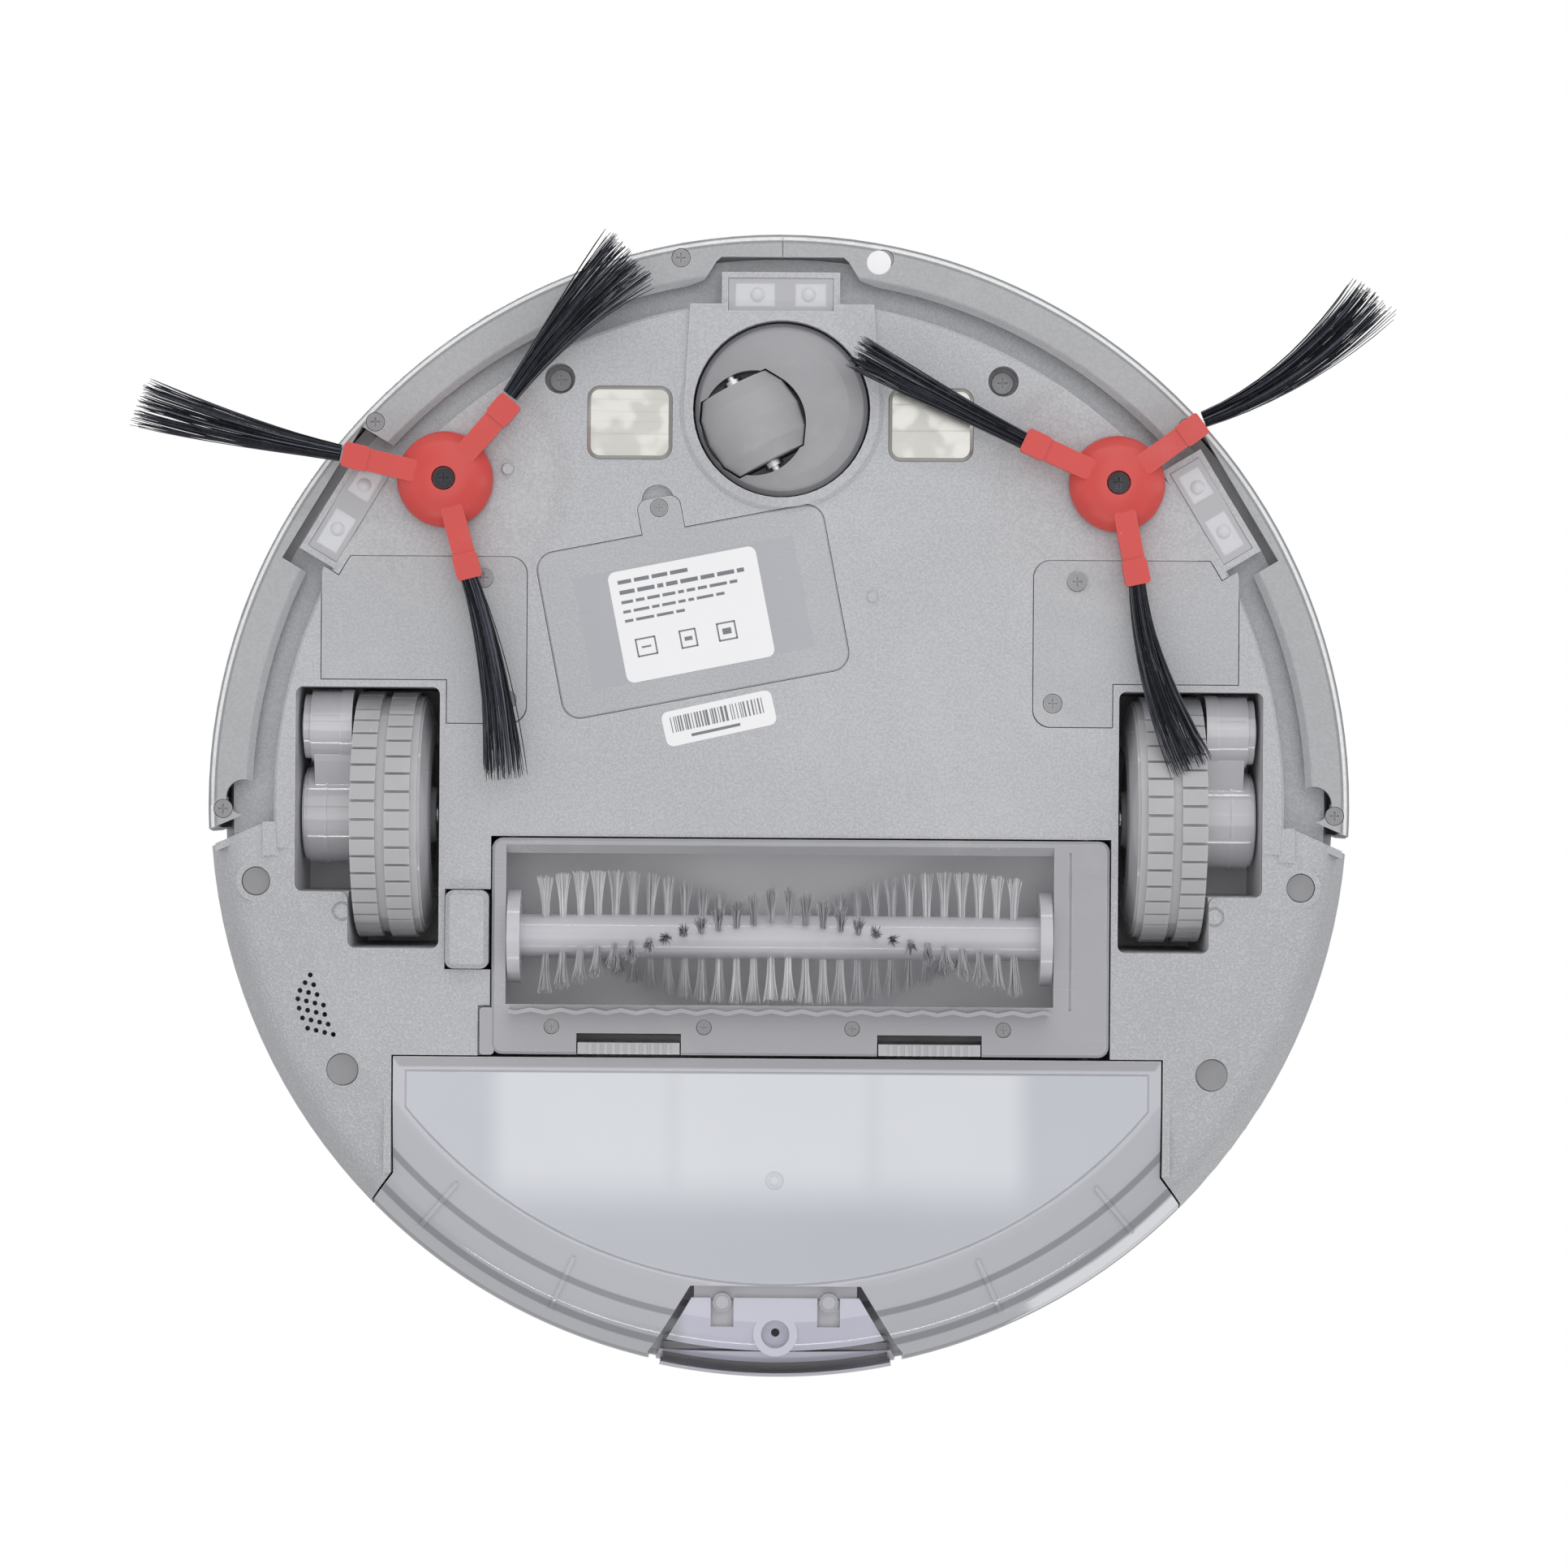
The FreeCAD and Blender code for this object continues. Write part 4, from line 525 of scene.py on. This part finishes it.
def rounded_plate(shape, centre, size, corner, low, high, turn=0.0):
    """Add a thin plate with round corners between two heights."""
    made = bmesh.ops.create_grid(shape, x_segments=1, y_segments=1, size=0.5 * MM)["verts"]
    bmesh.ops.scale(shape, vec=(size[0], size[1], 1.0), verts=made)
    if corner > 0:
        made = bmesh.ops.bevel(shape, geom=made, offset=corner * MM, segments=5, profile=0.5,
                               affect="VERTICES", material=-1)["verts"]
    face = made[0].link_faces[0]
    made = list(face.verts)
    grown = bmesh.ops.extrude_face_region(shape, geom=[face])["geom"]
    top = [v for v in grown if isinstance(v, bmesh.types.BMVert)]
    bmesh.ops.translate(shape, vec=(0, 0, (high - low) * MM), verts=top)
    whole = made + top
    bmesh.ops.rotate(shape, matrix=Matrix.Rotation(math.radians(turn), 3, "Z"), verts=whole)
    bmesh.ops.translate(shape, vec=(centre[0] * MM, centre[1] * MM, low * MM), verts=whole)


def turned_form(shape, profile, x, y, steps=48):
    """Spin an (r, z) outline, in millimetres, about an upright axis at x, y."""
    points = [shape.verts.new((r * MM, 0.0, z * MM)) for r, z in profile]
    edges = [shape.edges.new(pair) for pair in zip(points, points[1:])]
    bmesh.ops.translate(shape, vec=(x * MM, y * MM, 0.0), verts=points)
    bmesh.ops.spin(shape, geom=points + edges, axis=(0, 0, 1), cent=(x * MM, y * MM, 0.0),
                   steps=steps, angle=math.radians(360), use_merge=True)


def filaments(name, lines, thickness, body, finish):
    """Many fine bristles as one mesh. Each line is its points, in millimetres, and its tone, which the
    nylon finish uses partly as a painted glint.
    """
    curve = bpy.data.curves.new(name, "CURVE")
    curve.dimensions = "3D"
    curve.bevel_depth = thickness / 2 * MM
    curve.bevel_resolution = 0
    curve.use_fill_caps = True
    for points, tone in lines:
        spline = curve.splines.new("POLY")
        spline.points.add(len(points) - 1)
        for place, point in zip(spline.points, points):
            place.co = (*(c * MM for c in point), 1.0)
        spline.points[-1].radius = 0.55
    holder = bpy.data.objects.new(name + "_line", curve)
    mesh = bpy.data.meshes.new_from_object(holder)
    bpy.data.objects.remove(holder)
    per_line = len(mesh.vertices) // len(lines)
    tones_and_glints = [tone for _, tone in lines for _ in range(per_line)]
    mesh.attributes.new("filament_tone_and_glint", "FLOAT", "POINT").data.foreach_set("value", tones_and_glints)
    mesh.name = name
    return placed(name, mesh, body, finish, 60.0)


# ------------------------------------------------------------------ side brush tufts
def tuft_lines(dice, root, middle, tip, tip_width):
    """Bristles that leave the sleeve flat, bend with the tuft and fan out to its tip."""
    root, middle, tip = Vector((*root, 6.3)), Vector((*middle, 3.1)), Vector((*tip, 1.2))
    lines = []
    for _ in range(BRUSH_STRANDS):
        rank = dice.uniform(-1.0, 1.0)
        stray = dice.gauss(0.0, 0.13)
        layer = dice.uniform(-1.0, 1.0)
        reach = dice.uniform(0.93, 1.0) if dice.random() > 0.06 else dice.uniform(0.7, 0.9)
        points = []
        for step in range(10):
            t = step / 9 * reach
            centre = (root * ((1 - t) * (1 - 2 * t)) + middle * (4 * t * (1 - t))
                      + tip * (t * (2 * t - 1)))
            ahead = root * (4 * t - 3) + middle * (4 - 8 * t) + tip * (4 * t - 1)
            sideways = Vector((-ahead.y, ahead.x, 0.0)).normalized()
            half = SLEEVE_HALF + (tip_width / 2 - SLEEVE_HALF) * t ** 1.15
            wave = 0.35 * math.sin(4.0 * t + 9.0 * layer) * t
            offset = (rank + stray * t) * half + wave
            thick = (1.1 - 0.7 * t) * layer
            points.append(centre + sideways * offset + Vector((0, 0, thick)))
        # a few strands get a high value: painted glints in the dark nylon
        lines.append((points, dice.random() ** 4))
    return lines


def side_brush_tufts():
    dice = random.Random(11)
    for side, tufts in TUFT_PATHS.items():
        lines = []
        for root, middle, tip, width in tufts:
            lines += tuft_lines(dice, root, middle, tip, width)
        body = "side_brush_" + side
        tuft = filaments("tufts_" + side, lines, BRUSH_STRAND_WIDTH, body, "dark_nylon")
        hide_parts("side_brush_bristles_" + side)


# ------------------------------------------------------------------ main brush tufts
def roller_tuft(dice, x, angle):
    """One tuft: bristles that splay a little from a hole in the core."""
    out = Vector((0.0, -math.cos(angle), -math.sin(angle)))
    along = Vector((1.0, 0.0, 0.0))
    round_core = out.cross(along)
    hole = Vector((x, ROLLER_Y, ROLLER_Z)) + out * (CORE_R - 0.3)
    lines = []
    for _ in range(ROLLER_STRANDS):
        spread, turn = math.sqrt(dice.random()), dice.uniform(0.0, math.tau)
        lean = along * math.cos(turn) + round_core * math.sin(turn)
        length = (ROLLER_R - CORE_R) * dice.uniform(0.93, 1.0)
        curl = dice.uniform(-0.5, 0.5)
        points = []
        for step in range(4):
            t = step / 3
            points.append(hole + out * (length * t) + lean * spread * (0.9 + 1.3 * t * t)
                          + along * curl * t * t)
        lines.append((points, dice.random()))
    return lines


def main_brush_tufts():
    dice = random.Random(23)
    for tone, slot in (("dark", "bristle_dark"), ("pale", "bristle_pale")):
        lines = []
        for start in ROW_STARTS[tone]:
            for i in range(TUFTS_PER_ROW):
                u = (i + 0.5) / TUFTS_PER_ROW * 2 - 1
                angle = math.radians(start + ROW_SWEEP * abs(u))
                lines += roller_tuft(dice, ROLLER_MIDDLE + u * ROLLER_HALF, angle)
        finish = "grey_nylon" if tone == "dark" else "pale_nylon"
        rows = filaments("roller_tufts_" + tone, lines, ROLLER_STRAND_WIDTH, "roller", finish)
        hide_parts("roller_bristles_" + tone)


# ------------------------------------------------------------------ labels, plugs and trim
def battery_labels():
    """Foil, rating label and serial label on the battery cover, and a dot on the bumper."""
    face = DECK_Z - 0.1
    shape = bmesh.new()
    rounded_plate(shape, FOIL_AT, (63.0, 31.8), 0.6, face - 0.05, face + 0.02, FOIL_TURN)
    finished("cover_foil", shape, "base", "foil")
    shape = bmesh.new()
    rounded_plate(shape, LABEL_AT, (42.3, 31.6), 2.2, face - 0.13, face - 0.05, LABEL_TURN)
    finished("rating_label", shape, "base", "label")
    shape = bmesh.new()
    rounded_plate(shape, SERIAL_AT, (31.6, 9.9), 2.0, face, DECK_Z + 0.02, SERIAL_TURN)
    finished("serial_label", shape, "base", "label")
    shape = bmesh.new()
    dot = [(0, 13.88), (3.2, 13.88), (3.4, 13.94), (3.4, 14.02), (0, 14.02)]
    turned_form(shape, dot, *STICKER_AT, 32)
    finished("round_label", shape, "bumper", "label")


def label_print():
    """Plain bars that stand for the label's lines, a row of marks, and a bar code."""
    dice = random.Random(5)
    shape = bmesh.new()

    def mark(at, turn, u, v, width, depth, low):
        """A thin bar at u along and v across a label whose middle is at a place."""
        c, s = math.cos(math.radians(turn)), math.sin(math.radians(turn))
        centre = (at[0] + u * c - v * s, at[1] + u * s + v * c)
        rounded_plate(shape, centre, (width, depth), 0, low, low + 0.04, turn)

    label_low, serial_low = DECK_Z - 0.26, DECK_Z - 0.14
    rows = ((-12.6, 1.5, 2.0), (-9.7, 1.6, 16.0), (-6.9, 1.2, 13.0), (-4.2, 1.1, 10.0), (-1.6, 1.1, -3.0))
    for v, height, end in rows:
        u = -18.6
        while u < end:
            width = min(dice.uniform(1.6, 5.2), end + 1.5 - u)
            mark(LABEL_AT, LABEL_TURN, u + width / 2, v, width, height * 0.72, label_low)
            u += width + 0.8
    for u, wide, middle_depth in ((-14.0, 5.4, 0.5), (-2.0, 4.4, 1.1), (9.0, 5.0, 1.7)):
        for du, dv, width, depth in ((0, -2.4, wide, 0.45), (0, 2.4, wide, 0.45), (-wide / 2, 0, 0.45, 5.2),
                                     (wide / 2, 0, 0.45, 5.2), (0, 0, wide * 0.5, middle_depth)):
            mark(LABEL_AT, LABEL_TURN, u + du, 6.4 + dv, width, depth, label_low)
    u = -13.4
    while u < 13.2:
        width = dice.choice((0.25, 0.25, 0.45, 0.7))
        mark(SERIAL_AT, SERIAL_TURN, u, -1.0, width, 4.4, serial_low)
        u += width + dice.choice((0.3, 0.45, 0.7))
    mark(SERIAL_AT, SERIAL_TURN, -1.5, 2.9, 14.0, 0.8, serial_low)
    finished("label_print", shape, "base", "ink")


def hole_plugs():
    """Soft plugs in the four rear holes, with a shallow dished face."""
    shape = bmesh.new()
    for x, y, r, z in REAR_HOLES:
        dished = [(0, z + 0.5), (r * 0.55, z + 0.4), (r * 0.82, z + 0.1), (r - 0.35, z)]
        side = [(r - 0.12, z + 0.3), (r - 0.12, 21.6), (0, 21.6)]
        turned_form(shape, dished + side, x, y, 40)
    finished("hole_plugs", shape, "base", "plug")


def speaker_cloth():
    """Round of cloth behind the speaker's holes."""
    shape = bmesh.new()
    turned_form(shape, [(0, 17.4), (8.8, 17.4), (9.4, 17.6), (9.4, 17.9), (0, 17.9)], *SPEAKER, 40)
    finished("speaker_cloth", shape, "base", "cloth")


def lid_trim():
    """Bright ring seated in the top cover's groove, and the power mark on its button."""
    shape = bmesh.new()
    ring = [(118.1, 77.0), (118.1, 77.8), (118.3, 78.05), (118.9, 78.05), (119.1, 77.8), (119.1, 77.0),
            (118.1, 77.0)]
    turned_form(shape, ring, 0.0, 0.0, 160)
    finished("lid_ring", shape, "base", "chrome")
    shape = bmesh.new()
    mark = [(3.6, 78.7), (3.6, 78.86), (4.3, 78.86), (4.3, 78.7), (3.6, 78.7)]
    turned_form(shape, mark, 0.0, BUTTON_Y, 40)
    gap = [f for f in shape.faces if abs(f.calc_center_median().x) < 1.3 * MM
           and f.calc_center_median().y > BUTTON_Y * MM]
    bmesh.ops.delete(shape, geom=gap, context="FACES")
    bmesh.ops.holes_fill(shape, edges=[e for e in shape.edges if e.is_boundary])
    rounded_plate(shape, (0.0, BUTTON_Y + 3.6), (0.75, 4.4), 0.2, 78.7, 78.86)
    finished("power_mark", shape, "power_button", "diffuser")


def curved_bar(shape, inner_r, outer_r, low, high, start, sweep, steps=14):
    """Part of a ring about the body's axis, from a start angle in degrees from +X."""
    corners = ((inner_r, low), (outer_r, low), (outer_r, high), (inner_r, high))
    points = [shape.verts.new((r * MM, 0.0, z * MM)) for r, z in corners]
    face = shape.faces.new(points)
    bmesh.ops.rotate(shape, matrix=Matrix.Rotation(math.radians(start), 3, "Z"), verts=points)
    bmesh.ops.spin(shape, geom=points + list(face.edges) + [face], axis=(0, 0, 1), cent=(0, 0, 0),
                   steps=steps, angle=math.radians(sweep))


def bumper_lining():
    """Pale inner flange of the bumper, seen through its openings round the three sensors."""
    shape = bmesh.new()
    for start, sweep in ((-103.5, 27.0), (-42.0, 18.0), (-156.0, 18.0)):
        curved_bar(shape, 152.6, 158.4, 24.6, 25.6, start, sweep)
    finished("bumper_lining", shape, "bumper", "well")


def bumper_coils():
    """Two coil springs behind the bumper."""
    turns, steps = 5, 16
    lines = []
    for x in (-COIL_X, COIL_X):
        points = []
        for step in range(turns * steps + 1):
            t = step / (turns * steps)
            angle = math.tau * turns * t
            points.append((x + COIL_R * math.cos(angle), COIL_BACK + (COIL_FRONT - COIL_BACK) * t,
                           COIL_Z + COIL_R * math.sin(angle)))
        lines.append((points, 0.5))
    coils = filaments("bumper_coils", lines, 0.9, "base", "steel")
    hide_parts("bumper_springs")
    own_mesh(coils)


def thumb_face():
    """Curved outer face of the release button, closing the hollow behind its thumb plate."""
    shape = bmesh.new()
    curved_bar(shape, 161.0, 161.95, 21.2, 38.0, 90.0 - THUMB_HALF_ANGLE, 2 * THUMB_HALF_ANGLE, 24)
    finished("thumb_face", shape, "bin_button", "button")


def pocket_lining():
    """Pale sheets behind the thumb plate, seen in the gap in front of it and in its two slots."""
    low, high = 17.5, 18.2
    shape = bmesh.new()
    rounded_plate(shape, (0.0, 137.4), (46.0, 4.2), 0.5, low, high)
    finished("pocket_lining", shape, "dustbin", "well")
    shape = bmesh.new()
    for x in (-15.0, 15.0):
        rounded_plate(shape, (x, 143.9), (9.6, 8.4), 0.5, low, high)
    finished("slot_linings", shape, "dustbin", "well")


side_brush_tufts()
main_brush_tufts()
bumper_lining()
bumper_coils()
thumb_face()
pocket_lining()
battery_labels()
label_print()
hole_plugs()
speaker_cloth()
lid_trim()


# ------------------------------------------------------------------ studio
def softbox(name, place, target, size, watts):
    """A rectangular lamp that faces its target."""
    light = bpy.data.lights.new(name, "AREA")
    light.shape = "RECTANGLE"
    light.size, light.size_y = size
    light.energy = watts
    lamp = bpy.data.objects.new(name, light)
    lamp.location = place
    lamp.rotation_euler = (Vector(target) - Vector(place)).to_track_quat("-Z", "Y").to_euler()
    scene.collection.objects.link(lamp)


def pale_floor():
    """Floor that shows only from above, so that the underside can be seen."""
    shape = bmesh.new()
    bmesh.ops.create_grid(shape, x_segments=1, y_segments=1, size=6.0)
    mesh = bpy.data.meshes.new("floor")
    shape.to_mesh(mesh)
    shape.free()
    floor = bpy.data.objects.new("floor", mesh)
    scene.collection.objects.link(floor)
    material = bpy.data.materials.new("pale_floor")
    material.use_nodes = True
    tree = material.node_tree
    shader = tree.nodes["Principled BSDF"]
    shader.inputs["Base Color"].default_value = (0.86, 0.86, 0.87, 1.0)
    shader.inputs["Roughness"].default_value = 0.7
    clear = add(tree, "BsdfTransparent").outputs[0]
    below = add(tree, "NewGeometry").outputs["Backfacing"]
    both = add(tree, "MixShader", {0: below, 1: shader.outputs[0], 2: clear})
    tree.links.new(both.outputs[0], tree.nodes["Material Output"].inputs["Surface"])
    mesh.materials.append(material)
    for rays in ("diffuse", "glossy", "transmission", "shadow", "volume_scatter"):
        setattr(floor, "visible_" + rays, False)


def studio():
    """Even white surroundings, and lamps mostly below, where the camera is."""
    pale_floor()
    world = bpy.data.worlds.new("studio")
    scene.world = world
    world.use_nodes = True
    tree = world.node_tree
    tree.nodes.clear()
    seen = add(tree, "Background", {"Color": (1.0, 1.0, 1.0, 1.0), "Strength": 1.0})
    around = add(tree, "Background", {"Color": (1.0, 1.0, 1.0, 1.0), "Strength": 0.5})
    direct = add(tree, "LightPath").outputs["Is Camera Ray"]
    both = add(tree, "MixShader", {0: direct, 1: around.outputs[0], 2: seen.outputs[0]})
    out = add(tree, "OutputWorld")
    tree.links.new(both.outputs[0], out.inputs["Surface"])
    softbox("under_key", (0.35, -0.9, -1.5), (0, 0, 0), (1.6, 1.2), 5.5)
    softbox("under_fill", (-0.6, 0.6, -1.7), (0, 0, 0), (1.4, 1.4), 2.0)
    softbox("straight_up", (0.0, 0.0, -2.0), (0, 0, 0), (1.0, 1.0), 3.0)
    softbox("front_strip", (0.0, -1.3, -0.7), (0, 0, 0.03), (1.8, 0.06), 3.4)
    softbox("rear_strip", (0.0, 1.3, -0.9), (0, 0, 0.03), (1.8, 0.06), 3.4)
    softbox("left_strip", (-1.3, -0.1, -0.35), (0, 0, 0.03), (0.35, 1.6), 1.2)
    softbox("right_strip", (1.3, -0.1, -0.35), (0, 0, 0.03), (0.35, 1.6), 2.0)
    softbox("over_key", (-1.0, -1.2, 1.9), (0, 0, 0.04), (1.4, 1.4), 34.0)
    softbox("over_rim", (1.2, 1.3, 1.5), (0, 0, 0.04), (1.0, 1.0), 3.0)


def camera():
    """Looks straight up at the underside, with the front of the machine at the top."""
    lens = bpy.data.cameras.new("camera")
    lens.sensor_width = 36.0
    lens.lens = 96.6
    lens.clip_start = 0.01
    eye = bpy.data.objects.new("camera", lens)
    facing_up = Matrix.Rotation(math.pi, 4, "X")
    roll = Matrix.Rotation(math.radians(0.4), 4, "Z")
    eye.matrix_world = Matrix.Translation((0.0014, -0.0059, -1.170)) @ facing_up @ roll
    scene.collection.objects.link(eye)
    scene.camera = eye
    scene.view_settings.view_transform = "Standard"


studio()
camera()
